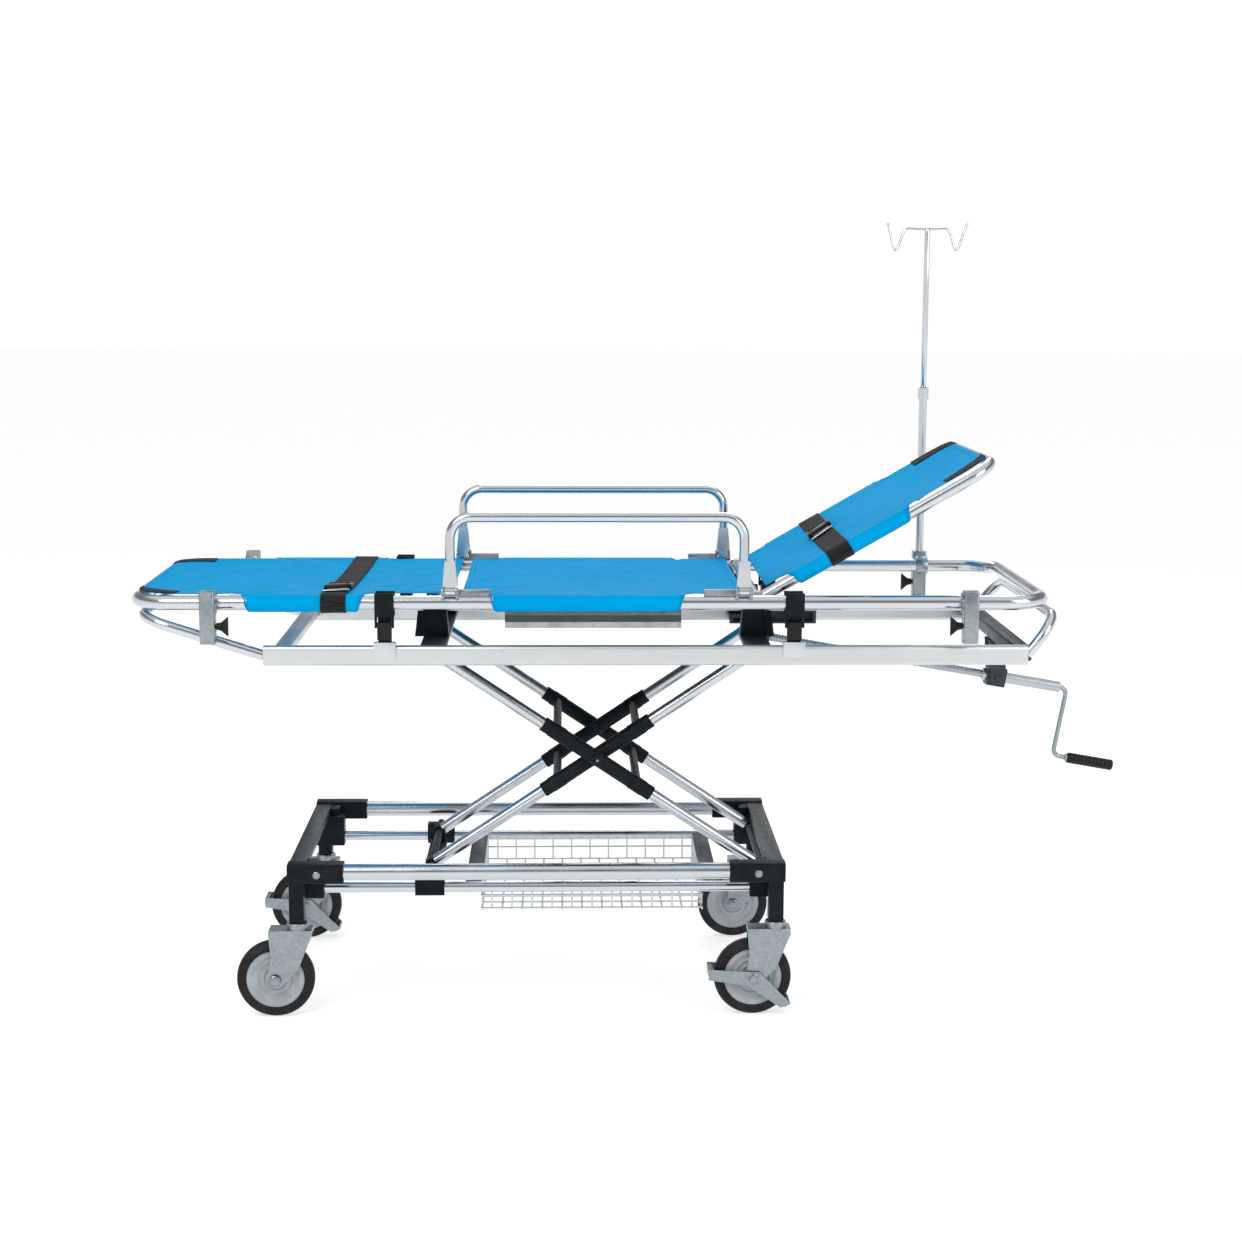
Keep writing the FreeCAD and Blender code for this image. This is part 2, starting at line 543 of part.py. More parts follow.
def end_loop(end, way, from_x, tip_x, tip_z):
    """A hand loop at one end of the deck: it rises from the rails to a cross bar under the stretcher."""
    rise = f"({tip_z} - deck_z)"
    run = f"({way} * ({tip_x} - {from_x}))"
    slope = math.degrees(math.atan2(value(rise), value(run)))
    tilt = FreeCAD.Rotation(Y_AXIS, -slope)
    face = FreeCAD.Rotation(Z_AXIS, 0 if way > 0 else 180)
    lean = face.multiply(tilt)
    leg = f"(sqrt({run} ^ 2 + {rise} ^ 2) - loop_bend)"
    leg_turn = lean.multiply(ALONG["x"])
    cosine = f"({run} / sqrt({run} ^ 2 + {rise} ^ 2))"
    sine = f"({rise} / sqrt({run} ^ 2 + {rise} ^ 2))"
    pieces = []
    for side, sign in SIDES:
        x = f"{from_x} + {way} * {cosine} * {leg} / 2"
        z = f"deck_z + {sine} * {leg} / 2"
        plain = tube(f"loop_leg_{end}_{side}", "loop_r", leg, x, f"{sign} * loop_y", z, turn=leg_turn)
        mitre = box(f"loop_mitre_{end}_{side}", 80, 60, 80, f"{from_x} - {way} * 40", f"{sign} * loop_y",
                    "deck_z")
        pieces.append(cut(f"loop_end_{end}_{side}", plain, mitre))
        corner = lean.multiply(spin(0 if sign * way > 0 else -90))
        pieces.append(bend(f"loop_corner_{end}_{side}", "loop_bend", "loop_r",
                           f"{from_x} + {way} * {cosine} * {leg}", f"{sign} * (loop_y - loop_bend)",
                           f"deck_z + {sine} * {leg}", corner, "tube_wall"))
    pieces.append(tube(f"loop_bar_{end}", "loop_r", "2 * (loop_y - loop_bend)", tip_x, 0, tip_z, "y"))
    return pieces


def deck_loops():
    legs = end_loop("foot", -1, "deck_foot", "foot_loop_x", "foot_loop_z")
    legs += end_loop("head", 1, "deck_head", "head_loop_x", "head_loop_z")
    node("deck_end_loops", *legs)


def rest_blocks():
    """Moulded blocks on the deck that the stretcher's cross tubes rest in."""
    pieces = []
    for end, x, plate_way in (("foot", REST_FOOT_X, -1), ("head", "back_x", 1)):
        for side, sign in SIDES:
            y = f"{sign} * 150"
            low = "deck_z + 19"
            top = "rail_z - 2"
            block = prism(f"rest_block_{end}_{side}", [("-26", low), ("26", low), ("18", top), ("-18", top)],
                          34, x, y, 0)
            seat = rod(f"rest_seat_{end}_{side}", "cross_r + cover_gap", 60, x, y, "rail_z", "y")
            plate = prism(f"rest_plate_{end}_{side}", [
                (f"{plate_way} * 24", low), (f"{plate_way} * 44", low), (f"{plate_way} * 36", "rail_z - 22"),
                (f"{plate_way} * 18", "rail_z - 22")], 5, x, f"{y} - 16", 0)
            pieces.append(cut(f"rest_{end}_{side}", fuse(f"rest_body_{end}_{side}", block, plate), seat))
    node("rest_blocks", *pieces)


# ---- screw and crank --------------------------------------------------------------------------------

SCREW_TILT = FreeCAD.Rotation(Y_AXIS, SIZES["screw_angle"])
SCREW_TURN = FreeCAD.Rotation(Y_AXIS, 90 + SIZES["screw_angle"])


def on_screw(distance, drop="0"):
    """A point that far past the bearing along the screw and that far below its line."""
    return (f"bearing_x + cos(screw_angle) * ({distance}) - sin(screw_angle) * ({drop})",
            f"bearing_z - sin(screw_angle) * ({distance}) - cos(screw_angle) * ({drop})")


def screw_drive():
    block = rounded("bearing_round", box("bearing_raw", "2 * bearing_half", 40, 40, "bearing_x", 0,
                                         "bearing_z", SCREW_TILT), "5", BOX_EDGES_X)
    trunnion = rod("bearing_trunnion", "trunnion_r", 62, "bearing_x", 0, "bearing_z", "y")
    bore = rod("bearing_bore", "screw_r + axle_gap", 90, "bearing_x", 0, "bearing_z", turn=SCREW_TURN)
    node("screw_bearing", cut("bearing", fuse("bearing_body", block, trunnion), bore))

    x, z = on_screw("(sleeve_from - screw_free) / 2")
    shaft = rod("screw_shaft", "screw_r", "screw_free + sleeve_from", x, 0, z, turn=SCREW_TURN)
    collars = []
    for name, distance in (("inner", "-bearing_half - 5"), ("outer", "bearing_half + 3")):
        x, z = on_screw(distance)
        length = 9 if name == "inner" else 5
        collars.append(rod(f"screw_collar_{name}", 13, length, x, 0, z, turn=SCREW_TURN))
    x, z = on_screw("(sleeve_from + sleeve_to) / 2")
    sleeve = rod("screw_sleeve", 11.5, "sleeve_to - sleeve_from", x, 0, z, turn=SCREW_TURN)
    node("crank_screw", fuse("screw", shaft, *collars, sleeve))

    end = "crank_shaft - crank_bend"
    x, z = on_screw(f"(sleeve_to + {end}) / 2")
    neck = rod("crank_neck", "crank_rod_r", f"{end} - sleeve_to", x, 0, z, turn=SCREW_TURN)
    x, z = on_screw(end, "crank_bend")
    first = bend("crank_first_bend", "crank_bend", "crank_rod_r", x, 0, z,
                 SCREW_TILT.multiply(FreeCAD.Rotation(X_AXIS, 90)))
    x, z = on_screw("crank_shaft", "crank_radius / 2")
    arm = rod("crank_arm_rod", "crank_rod_r", "crank_radius - 2 * crank_bend", x, 0, z, turn=SCREW_TILT)
    x, z = on_screw("crank_shaft + crank_bend", "crank_radius - crank_bend")
    second = bend("crank_second_bend", "crank_bend", "crank_rod_r", x, 0, z,
                  SCREW_TILT.multiply(FreeCAD.Rotation(X_AXIS, 90)).multiply(spin(180)))
    x, z = on_screw("crank_shaft + (crank_bend + grip_to - 4) / 2", "crank_radius")
    pin = rod("crank_pin", "crank_rod_r", "grip_to - 4 - crank_bend", x, 0, z, turn=SCREW_TURN)
    x, z = on_screw("crank_shaft + grip_from - 3", "crank_radius")
    stop = rod("crank_stop", 8, 4, x, 0, z, turn=SCREW_TURN)
    node("crank_arm", fuse("crank", neck, first, arm, second, pin, stop))

    x, z = on_screw("crank_shaft + (grip_from + grip_to) / 2", "crank_radius")
    grip = rounded("grip_round", rod("grip_raw", "grip_r", "grip_to - grip_from", x, 0, z,
                                     turn=SCREW_TURN), "4", CYLINDER_RIMS)
    x, z = on_screw("crank_shaft + grip_from + (grip_to - grip_from) / 2 - 6", "crank_radius")
    hole = rod("grip_hole", "crank_rod_r + axle_gap", "grip_to - grip_from + 8", x, 0, z, turn=SCREW_TURN)
    node("crank_grip", cut("grip", grip, hole))


# ---- clamps between deck and stretcher --------------------------------------------------------------

def clamp(tag, sign, x):
    """A post on the deck rail with an open cradle for the stretcher's rail and a hanging lever."""
    rail_y = f"{sign} * rail_y"
    column = box(f"clamp_column_{tag}", 26, 20, "rail_z - 26 - (deck_z + 20)", x, rail_y,
                 "(rail_z - 26 + deck_z + 20) / 2")
    cradle = rounded(f"clamp_cradle_{tag}", box(
        f"clamp_block_{tag}", "clamp_w", 38, 48, x, f"{sign} * (rail_y)", "rail_z - 2"), "3", BOX_EDGES_X)
    bracket = box(f"clamp_bracket_{tag}", 44, 3, 30, x, f"{sign} * (deck_y + deck_rail_w / 2 + 1.5)",
                  "deck_z + 12")
    shoulder = box(f"clamp_shoulder_{tag}", 44, 14, 8, x, f"{sign} * (deck_y + 7)", "deck_z + 24")
    ears = [box(f"clamp_ear_{tag}_{end}", 4, 14, 24, f"{x} + {way} * 17", f"{sign} * (lever_pin_y - 4)",
                "lever_pin_z + 5") for end, way in ENDS]
    pin = rod(f"clamp_pin_{tag}", 3, 38, x, f"{sign} * lever_pin_y", "lever_pin_z", "x")
    channel = box(f"clamp_channel_{tag}", 60, "2 * (rail_r + cover_gap)", 60, x, rail_y, "rail_z + 30")
    trough = rod(f"clamp_trough_{tag}", "rail_r + cover_gap", 60, x, rail_y, "rail_z", "x")
    body = fuse(f"clamp_body_{tag}", column, cradle, bracket, shoulder, *ears, pin)
    lever = rounded(f"lever_round_{tag}", box(f"lever_raw_{tag}", 28, 7, 34, x, f"{sign} * lever_pin_y",
                                              "lever_pin_z - 14"), "2", BOX_EDGES_X)
    barrel = rod(f"lever_barrel_{tag}", 5, 28, x, f"{sign} * lever_pin_y", "lever_pin_z", "x")
    bore = rod(f"lever_bore_{tag}", "3 + axle_gap", 40, x, f"{sign} * lever_pin_y", "lever_pin_z", "x")
    node(f"clamp_lever_{tag}", cut(f"lever_{tag}", fuse(f"lever_body_{tag}", lever, barrel), bore))
    return cut(f"clamp_{tag}", body, channel, trough)


def clamps():
    posts = []
    for end, x in (("foot", "clamp_foot_x"), ("head", "clamp_head_x")):
        for side, sign in SIDES:
            posts.append(clamp(f"{side}_{end}", sign, x))
    node("clamp_posts", *posts)


# ---- stretcher --------------------------------------------------------------------------------------

def stretcher_frame():
    middle = "(foot_x + head_x) / 2"
    pieces = [tube(f"stretcher_rail_{side}", "rail_r", "head_x - foot_x - 2 * corner_bend", middle,
                   f"{sign} * rail_y", "rail_z", "x") for side, sign in SIDES]
    corner_turns = {("head", "far"): 0, ("foot", "far"): 90, ("foot", "near"): 180, ("head", "near"): 270}
    for end, way in ENDS:
        pieces.append(tube(f"stretcher_end_{end}", "rail_r", "2 * (rail_y - corner_bend)", f"{end}_x", 0,
                           "rail_z", "y"))
        for side, sign in SIDES:
            pieces.append(bend(f"stretcher_corner_{end}_{side}", "corner_bend", "rail_r",
                               f"{end}_x - {way} * corner_bend", f"{sign} * (rail_y - corner_bend)",
                               "rail_z", spin(corner_turns[end, side]), "tube_wall"))
    node("stretcher_frame", *pieces)
    cross = []
    for name, x in (("foot", -560), ("middle", REST_FOOT_X), ("hinge", "back_x")):
        cross.append(tube(f"cross_tube_{name}", "cross_r", "2 * (rail_y - rail_r)", x, 0, "rail_z", "y"))
    node("stretcher_cross_tubes", *cross)


def seat_pan():
    """A shallow sling of sheet under the seat, folded up to the rails along both sides."""
    length = "(seat_wrap_to - pan_from)"
    x = "(seat_wrap_to + pan_from) / 2"
    height = "(rail_z - rail_r - 2 - pan_bottom)"
    floor = box("pan_floor", length, "2 * (rail_y - 8)", "pan_sheet", x, 0, "pan_bottom + pan_sheet / 2")
    walls = [box(f"pan_wall_{side}", length, "pan_sheet", height, x,
                 f"{sign} * (rail_y - 8 - pan_sheet / 2)", f"pan_bottom + {height} / 2")
             for side, sign in SIDES]
    hooks = [box(f"pan_hook_{side}_{end}", 24, "pan_sheet", 22, f"{x} + {way} * {length} / 3",
                 f"{sign} * (rail_y - rail_r - pan_sheet / 2)", "rail_z - rail_r + 3")
             for side, sign in SIDES for end, way in ENDS]
    straps = [box(f"pan_strap_{side}_{end}", 24, 16, "pan_sheet", f"{x} + {way} * {length} / 3",
                  f"{sign} * (rail_y - rail_r)", "rail_z - rail_r - 6.5")
              for side, sign in SIDES for end, way in ENDS]
    node("seat_pan", fuse("pan", floor, *walls, *hooks, *straps))


def wrapped_cover(name, start, end, wrap_start, wrap_end, half_width, tube_r, level, origin="base_x"):
    """A sheet laid on two tubes, with a sleeve round each of them along part of its length."""
    top = f"({level} + {tube_r} + cover_gap + cover_thick / 2)"
    sheet_y = f"2 * ({half_width} - {tube_r} - 6)"
    pieces = [box(f"{name}_sheet", f"{end} - ({start})", sheet_y, "cover_thick", f"({start} + {end}) / 2", 0,
                  top, origin=origin)]
    middle = f"({wrap_start} + {wrap_end}) / 2"
    length = f"({wrap_end} - ({wrap_start}))"
    pieces.append(box(f"{name}_full", length, f"2 * {half_width}", "cover_thick", middle, 0, top,
                      origin=origin))
    for side, sign in SIDES:
        y = f"{sign} * {half_width}"
        outer = rod(f"{name}_roll_{side}", f"{tube_r} + cover_gap + cover_thick", length, middle, y, level,
                    "x", origin=origin)
        inner = rod(f"{name}_core_{side}", f"{tube_r} + cover_gap", f"{length} + 2", middle, y, level, "x",
                    origin=origin)
        inboard = box(f"{name}_inboard_{side}", f"{length} + 2", 40, f"2 * {tube_r} + 20", middle,
                      f"{sign} * ({half_width} - 20)", f"{level}", origin=origin)
        pieces.append(cut(f"{name}_sleeve_{side}", outer, inner, inboard))
    return fuse(name, *pieces)


def covers():
    node("leg_cover", wrapped_cover("leg_sheet", "foot_x + 20", "leg_cover_to", "leg_wrap_from",
                                    "leg_wrap_to", "rail_y", "rail_r", "rail_z"))
    node("seat_cover", wrapped_cover("seat_sheet", "seat_cover_from", "seat_cover_to", "seat_wrap_from",
                                     "seat_wrap_to", "rail_y", "rail_r", "rail_z"))
    top = "rail_z + rail_r + cover_gap + cover_thick + 0.3 + strap_thick / 2"
    node("leg_strap", box("leg_band", "strap_w", "2 * rail_y", "strap_thick", "leg_strap_x", 0, top,
                          FreeCAD.Rotation(Z_AXIS, -1.5)))


def rail_brackets():
    """Hinge brackets of the guards, with their latch bodies, on top of the stretcher's rails."""
    pieces = []
    for side, sign in SIDES:
        pin_y = f"{sign} * (rail_y + guard_pin_out)"
        for end, x, inward in (("foot", "guard_foot_x", 1), ("head", "guard_head_x", -1)):
            tag = f"{side}_{end}"
            ears = []
            for name, way in ENDS:
                spot = f"{x} + {way} * 14"
                ears.append(rod(f"guard_ear_{tag}_{name}", 8, 6, spot, pin_y, "guard_pin_z", "x"))
                ears.append(box(f"guard_ear_foot_{tag}_{name}", 6, 9, 15, spot,
                                f"{sign} * (rail_y + guard_pin_out - 3.5)", "guard_pin_z - 7.5"))
            plate = box(f"guard_plate_{tag}", 34, 14, 3, x, f"{sign} * (rail_y - 1)", "rail_z + rail_r + 1")
            latch = box(f"guard_latch_{tag}", 62, 12, 12, f"{x} + {inward} * 48", f"{sign} * (rail_y - 2)",
                        "rail_z + rail_r + 5.5")
            tie_bar = box(f"guard_tie_{tag}", 34, 6, 3, x, f"{sign} * (rail_y + 7)", "rail_z + rail_r + 0.5")
            pin = rod(f"guard_pin_{tag}", "guard_pin_r", 34, x, pin_y, "guard_pin_z", "x")
            rail = rod(f"guard_rail_room_{tag}", "rail_r", 200, x, f"{sign} * rail_y", "rail_z", "x")
            pieces.append(cut(f"guard_bracket_{tag}", fuse(
                f"guard_bracket_body_{tag}", *ears, plate, latch, tie_bar, pin), rail))
    node("guard_brackets", *pieces)


def guard(side, sign):
    rail = f"{sign} * rail_y"
    pin_y = f"{sign} * (rail_y + guard_pin_out)"
    feet, posts = [], []
    for end, x in (("foot", "guard_foot_x"), ("head", "guard_head_x")):
        tag = f"{side}_{end}"
        wedge = prism(f"guard_wedge_{tag}", [("-15", "guard_pin_z + 10"), ("15", "guard_pin_z + 10"),
                                             ("10.5", "guard_pin_z + 60"), ("-10.5", "guard_pin_z + 60")],
                      22, x, rail, 0)
        neck = box(f"guard_neck_{tag}", 20, 22, 16, x, rail, "guard_pin_z + 2")
        barrel = rod(f"guard_barrel_{tag}", 7, 20, x, pin_y, "guard_pin_z", "x")
        bore = rod(f"guard_bore_{tag}", "guard_pin_r + axle_gap", 60, x, pin_y, "guard_pin_z", "x")
        feet.append(cut(f"guard_foot_{tag}", fuse(f"guard_foot_body_{tag}", wedge, neck, barrel), bore))
        height = "(guard_z - guard_bend - (guard_pin_z + 60))"
        posts.append(tube(f"guard_post_{tag}", "guard_r", height, x, rail,
                          f"guard_pin_z + 60 + {height} / 2"))
        turn = FreeCAD.Rotation(X_AXIS, 90).multiply(spin(0 if end == "head" else 90))
        inward = -1 if end == "head" else 1
        posts.append(bend(f"guard_corner_{tag}", "guard_bend", "guard_r", f"{x} + {inward} * guard_bend",
                          rail, "guard_z - guard_bend", turn, "tube_wall"))
    posts.append(tube(f"guard_bar_{side}", "guard_r", "guard_head_x - guard_foot_x - 2 * guard_bend",
                      "(guard_head_x + guard_foot_x) / 2", rail, "guard_z", "x"))
    node(f"guard_{side}", *feet, *posts)


# ---- backrest: built lying flat about its hinge, then leaned back ------------------------------------

def lean_back(part):
    part.Placement = FreeCAD.Placement(FreeCAD.Vector(), FreeCAD.Rotation(Y_AXIS, -SIZES["back_angle"]))
    part.setExpression("Placement.Base.x", formula("base_x + back_x"))
    part.setExpression("Placement.Base.z", formula("rail_z"))
    return part


def backrest():
    flat = "0"
    pieces = []
    for side, sign in SIDES:
        y = f"{sign} * back_y"
        start = "cross_r + 4"
        plain = tube(f"back_tube_{side}", "back_r", f"back_length - back_bend - ({start})",
                     f"({start} + back_length - back_bend) / 2", y, 0, "x", origin=flat)
        ring = rod(f"back_eye_{side}", "cross_r + 6", 24, 0, y, 0, "y", origin=flat)
        tang = rod(f"back_tang_{side}", "back_r - tube_wall", 46, 30, y, 0, "x", origin=flat)
        bore = rod(f"back_bore_{side}", "cross_r + axle_gap", 60, 0, y, 0, "y", origin=flat)
        shell = tube(f"back_shell_{side}", "back_r + 6", f"back_length - ({start})",
                     f"({start} + back_length) / 2", y, 0, "x", wall="6 + tube_wall", origin=flat)
        pieces.append(plain)
        pieces.append(cut(f"back_knuckle_{side}", fuse(f"back_knuckle_body_{side}", ring, tang), bore,
                          shell))
        pieces.append(bend(f"back_corner_{side}", "back_bend", "back_r", "back_length - back_bend",
                           f"{sign} * (back_y - back_bend)", 0, spin(0 if sign > 0 else -90), "tube_wall",
                           origin=flat))
    pieces.append(tube("back_bar", "back_r", "2 * (back_y - back_bend)", "back_length", 0, 0, "y",
                       origin=flat))
    brace_x = "back_length / 2"
    pieces.append(tube("back_brace", "8", "2 * (back_y - back_r)", brace_x, 0, 0, "y", origin=flat))
    lean_back(node("backrest_frame", *pieces))
    lean_back(node("backrest_cover", wrapped_cover(
        "back_sheet", "30", "back_length - 8", "back_wrap_from", "back_wrap_to", "back_y", "back_r", "0",
        origin=flat)))
    strap_z = "back_r + cover_gap + cover_thick + 0.3 + strap_thick / 2"
    band = box("chest_band", "strap_w", "2 * back_y", "strap_thick", "chest_strap_along", 0,
               strap_z, origin=flat)
    carrier = doc.addObject("Part::Compound", "chest_strap")
    carrier.Links = [band]
    lean_back(node("chest_strap", carrier))


# ---- pole sockets and drip pole ---------------------------------------------------------------------

SOCKETS = [(side, sign, end, way) for side, sign in SIDES for end, way in ENDS]


def pole_sockets():
    pieces = []
    for side, sign, end, way in SOCKETS:
        tag = f"{side}_{end}"
        x = f"socket_{end}_x"
        y = f"{sign} * socket_y"
        height = "(socket_top - socket_bottom)"
        block = rounded(f"socket_round_{tag}", box(
            f"socket_block_{tag}", "socket_w", "socket_w", height, x, y, f"socket_bottom + {height} / 2"),
            "4", (1, 3, 5, 7))
        ring = rod(f"socket_ring_{tag}", "rail_r + 5.5", "socket_w - 5", x, f"{sign} * rail_y", "rail_z",
                   "x")
        body = fuse(f"socket_body_{tag}", block, ring)
        rail = rod(f"socket_rail_{tag}", "rail_r", 80, x, f"{sign} * rail_y", "rail_z", "x")
        bore = rod(f"socket_bore_{tag}", "pole_r + 0.08", height, x, y,
                   f"socket_bottom + 3 + {height} / 2")
        knob_bore = rod(f"socket_knob_bore_{tag}", "4 + axle_gap", 24, f"{x} - {way} * 12", y,
                        "socket_bottom + 34", "x")
        pieces.append(cut(f"socket_{tag}", body, rail, bore, knob_bore))

        stem = rod(f"knob_stem_{tag}", 4, 12, f"{x} - {way} * 16", y, "socket_bottom + 34", "x")
        wing = prism(f"knob_wing_{tag}", [
            (f"-{way} * 17", "-6"), (f"-{way} * 26", "-8"), (f"-{way} * 40", "-20"),
            (f"-{way} * 40", "20"), (f"-{way} * 26", "8"), (f"-{way} * 17", "6")],
            7, x, y, "socket_bottom + 34")
        boss = rod(f"knob_boss_{tag}", 7, 10, f"{x} - {way} * 22", y, "socket_bottom + 34", "x")
        node(f"socket_knob_{tag}", fuse(f"knob_{tag}", stem, wing, boss))
    node("pole_sockets", *pieces)


def drip_pole():
    x, y = "socket_head_x", "socket_y"
    outer = tube("pole_outer", "pole_r", "pole_top - pole_bottom", x, y, "(pole_top + pole_bottom) / 2",
                 wall="pole_r - rod_r - axle_gap")
    collar = tube("pole_collar", "pole_r + 3", 26, x, y, "pole_top - 12", wall="3")
    node("drip_pole", fuse("pole", outer, collar))
    stem = rod("pole_rod", "rod_r", "rod_top - rod_bottom", x, y, "(rod_top + rod_bottom) / 2")
    hub = rod("hook_hub", 9, 18, x, y, "rod_top + 3")
    cross = rod("hook_cross", "hook_wire - 0.4", "2 * (hook_half - 1)", x, y, "hook_z", "x")
    pieces = [stem, hub, cross]
    for end, way in ENDS:
        low = "hook_z - hook_drop"
        middle = f"{x} + {way} * (hook_half + hook_bend)"
        pieces.append(rod(f"hook_drop_{end}", "hook_wire", "hook_drop + hook_wire",
                          f"{x} + {way} * hook_half", y, "hook_z - (hook_drop - hook_wire) / 2"))
        pieces.append(bend(f"hook_trough_{end}", "hook_bend", "hook_wire", middle, y, low,
                           FreeCAD.Rotation(X_AXIS, -90), angle=180))
        pieces.append(rod(f"hook_rise_{end}", "hook_wire", "hook_drop + 12",
                          f"{x} + {way} * (hook_half + 2 * hook_bend)", y, f"{low} + (hook_drop + 12) / 2"))
    node("pole_hooks", fuse("hooks", *pieces))


# ---- the whole trolley ------------------------------------------------------------------------------

def build():
    base_tubes()
    node("corner_castings", *[corner_casting(side, sign, end, way)
                              for side, sign in SIDES for end, way in ENDS])
    base_cross_members()
    basket()
    for side, sign in SIDES:
        for end, way in ENDS:
            castor(f"{side}_{end}", sign, way, (side, end) in (("near", "head"), ("far", "foot")))
    lifting_arms()
    foot_carriage()
    lift_shaft()
    deck_frame()
    deck_loops()
    rest_blocks()
    screw_drive()
    clamps()
    stretcher_frame()
    seat_pan()
    covers()
    rail_brackets()
    for side, sign in SIDES:
        guard(side, sign)
    backrest()
    pole_sockets()
    drip_pole()


def check():
    """Stop before anything is written if a feature failed or a sub-part isn't a sound solid."""
    for item in doc.Objects:
        if {"Invalid", "Error"} & set(item.State):
            raise RuntimeError(f"{item.Name} failed: {item.State}")
    for part in NODES:
        shape = part.Shape
        if shape.isNull() or not shape.isValid() or shape.Volume <= 0:
            raise RuntimeError(f"{part.Label} has no sound shape")


build()
doc.recompute()
check()
os.makedirs("parts", exist_ok=True)
for part in NODES:
    part.Shape.exportStep(f"parts/{part.Label}.step")
whole = Part.makeCompound([part.Shape for part in NODES]).optimalBoundingBox(False)
print(f"{len(NODES)} sub-parts, X {whole.XMin:.2f} to {whole.XMax:.2f}, Y {whole.YMin:.2f} to "
      f"{whole.YMax:.2f}, Z {whole.ZMin:.2f} to {whole.ZMax:.2f}")
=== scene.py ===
"""The looks of a stretcher trolley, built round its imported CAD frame.

Metres. +X is the head end, -Y the near side, and the floor is at Z = 0.
"""

import math

import bmesh
import bpy
from mathutils import Matrix, Vector, noise
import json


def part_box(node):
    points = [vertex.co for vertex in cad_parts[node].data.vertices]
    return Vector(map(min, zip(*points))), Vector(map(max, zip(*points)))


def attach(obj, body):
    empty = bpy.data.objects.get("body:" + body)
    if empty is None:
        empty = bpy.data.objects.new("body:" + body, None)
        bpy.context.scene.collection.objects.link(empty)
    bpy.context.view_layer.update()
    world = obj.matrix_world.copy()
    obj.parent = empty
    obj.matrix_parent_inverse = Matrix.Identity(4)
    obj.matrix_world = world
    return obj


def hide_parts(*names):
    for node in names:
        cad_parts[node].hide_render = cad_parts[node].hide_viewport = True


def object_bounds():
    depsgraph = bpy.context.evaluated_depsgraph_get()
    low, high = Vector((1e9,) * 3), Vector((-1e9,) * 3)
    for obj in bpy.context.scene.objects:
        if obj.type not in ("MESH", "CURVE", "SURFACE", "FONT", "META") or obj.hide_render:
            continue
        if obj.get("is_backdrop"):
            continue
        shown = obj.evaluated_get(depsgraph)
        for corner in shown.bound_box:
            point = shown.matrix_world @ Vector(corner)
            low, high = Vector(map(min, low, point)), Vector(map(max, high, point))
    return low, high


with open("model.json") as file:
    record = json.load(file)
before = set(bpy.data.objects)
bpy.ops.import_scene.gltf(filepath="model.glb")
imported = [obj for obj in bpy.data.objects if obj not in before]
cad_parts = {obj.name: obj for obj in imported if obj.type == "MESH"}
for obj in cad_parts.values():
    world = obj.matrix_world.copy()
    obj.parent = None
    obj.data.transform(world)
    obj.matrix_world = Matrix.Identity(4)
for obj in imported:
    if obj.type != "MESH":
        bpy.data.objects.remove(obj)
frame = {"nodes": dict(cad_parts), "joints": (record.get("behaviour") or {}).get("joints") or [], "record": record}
cad_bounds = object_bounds()

SIDES = (("near", -1), ("far", 1))
ENDS = (("foot", -1), ("head", 1))
CORNERS = [f"{side}_{end}" for side, _ in SIDES for end, _ in ENDS]


# ---- sizes, read from the frame where it holds them -------------------------------------------------

rail_low, rail_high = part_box("stretcher_frame")
RAIL_R = (rail_high.z - rail_low.z) / 2
RAIL_Y = rail_high.y - RAIL_R
RAIL_Z = (rail_high.z + rail_low.z) / 2
FOOT_X = rail_low.x + RAIL_R
CORNER_BEND = 0.08
CROSS_TUBE_X = -0.4219      # the tube between the leg cover and the seat cover

joints = {joint["name"]: joint for joint in frame["joints"]}
BACK_HINGE = Vector(joints["backrest_tilt"]["pos_m"])
BACK_LEAN = -math.radians(joints["backrest_tilt"]["range_deg"][0])
BACK_LENGTH = 0.548
BACK_BEND = 0.06
BACK_R = 0.0125
BACK_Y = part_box("backrest_frame")[1].y - BACK_R

SHEET = 0.0016              # thickness of the coated cloth
STRAP = 0.0018              # thickness of the webbing
GAP = 0.0004                # air between a tube and the cloth round it


# ---- mesh vocabulary --------------------------------------------------------------------------------

def add_object(name, data):
    """A new object in the scene, with its mesh, curve, light or camera."""
    piece = bpy.data.objects.new(name, data)
    bpy.context.scene.collection.objects.link(piece)
    return piece


def mesh_piece(name, points, faces):
    """A smoothly shaded mesh."""
    mesh = bpy.data.meshes.new(name)
    mesh.from_pydata([tuple(point) for point in points], [], faces)
    mesh.validate()
    for polygon in mesh.polygons:
        polygon.use_smooth = True
    return add_object(name, mesh)


def grid_faces(rows, columns, wrap_rows=False, wrap_columns=False):
    """Quads of a grid of points stored row by row."""
    faces = []
    for row in range(rows if wrap_rows else rows - 1):
        for column in range(columns if wrap_columns else columns - 1):
            right = (column + 1) % columns
            down = (row + 1) % rows
            faces.append((row * columns + column, row * columns + right,
                          down * columns + right, down * columns + column))
    return faces


def turn_profile(name, profile, place, axis, segments):
    """A closed outline of (radius, distance along the axis), turned round the axis through place.

    A solid end closes to a pinhole on the axis, so that no face collapses to a line.
    """
    turn = Vector((0, 0, 1)).rotation_difference(Vector(axis)).to_matrix()
    points = []
    for step in range(segments):
        angle = 2 * math.pi * step / segments
        for radius, along in profile:
            spot = Vector((radius * math.cos(angle), radius * math.sin(angle), along))
            points.append(Vector(place) + turn @ spot)
    return mesh_piece(name, points, grid_faces(segments, len(profile), wrap_rows=True, wrap_columns=True))


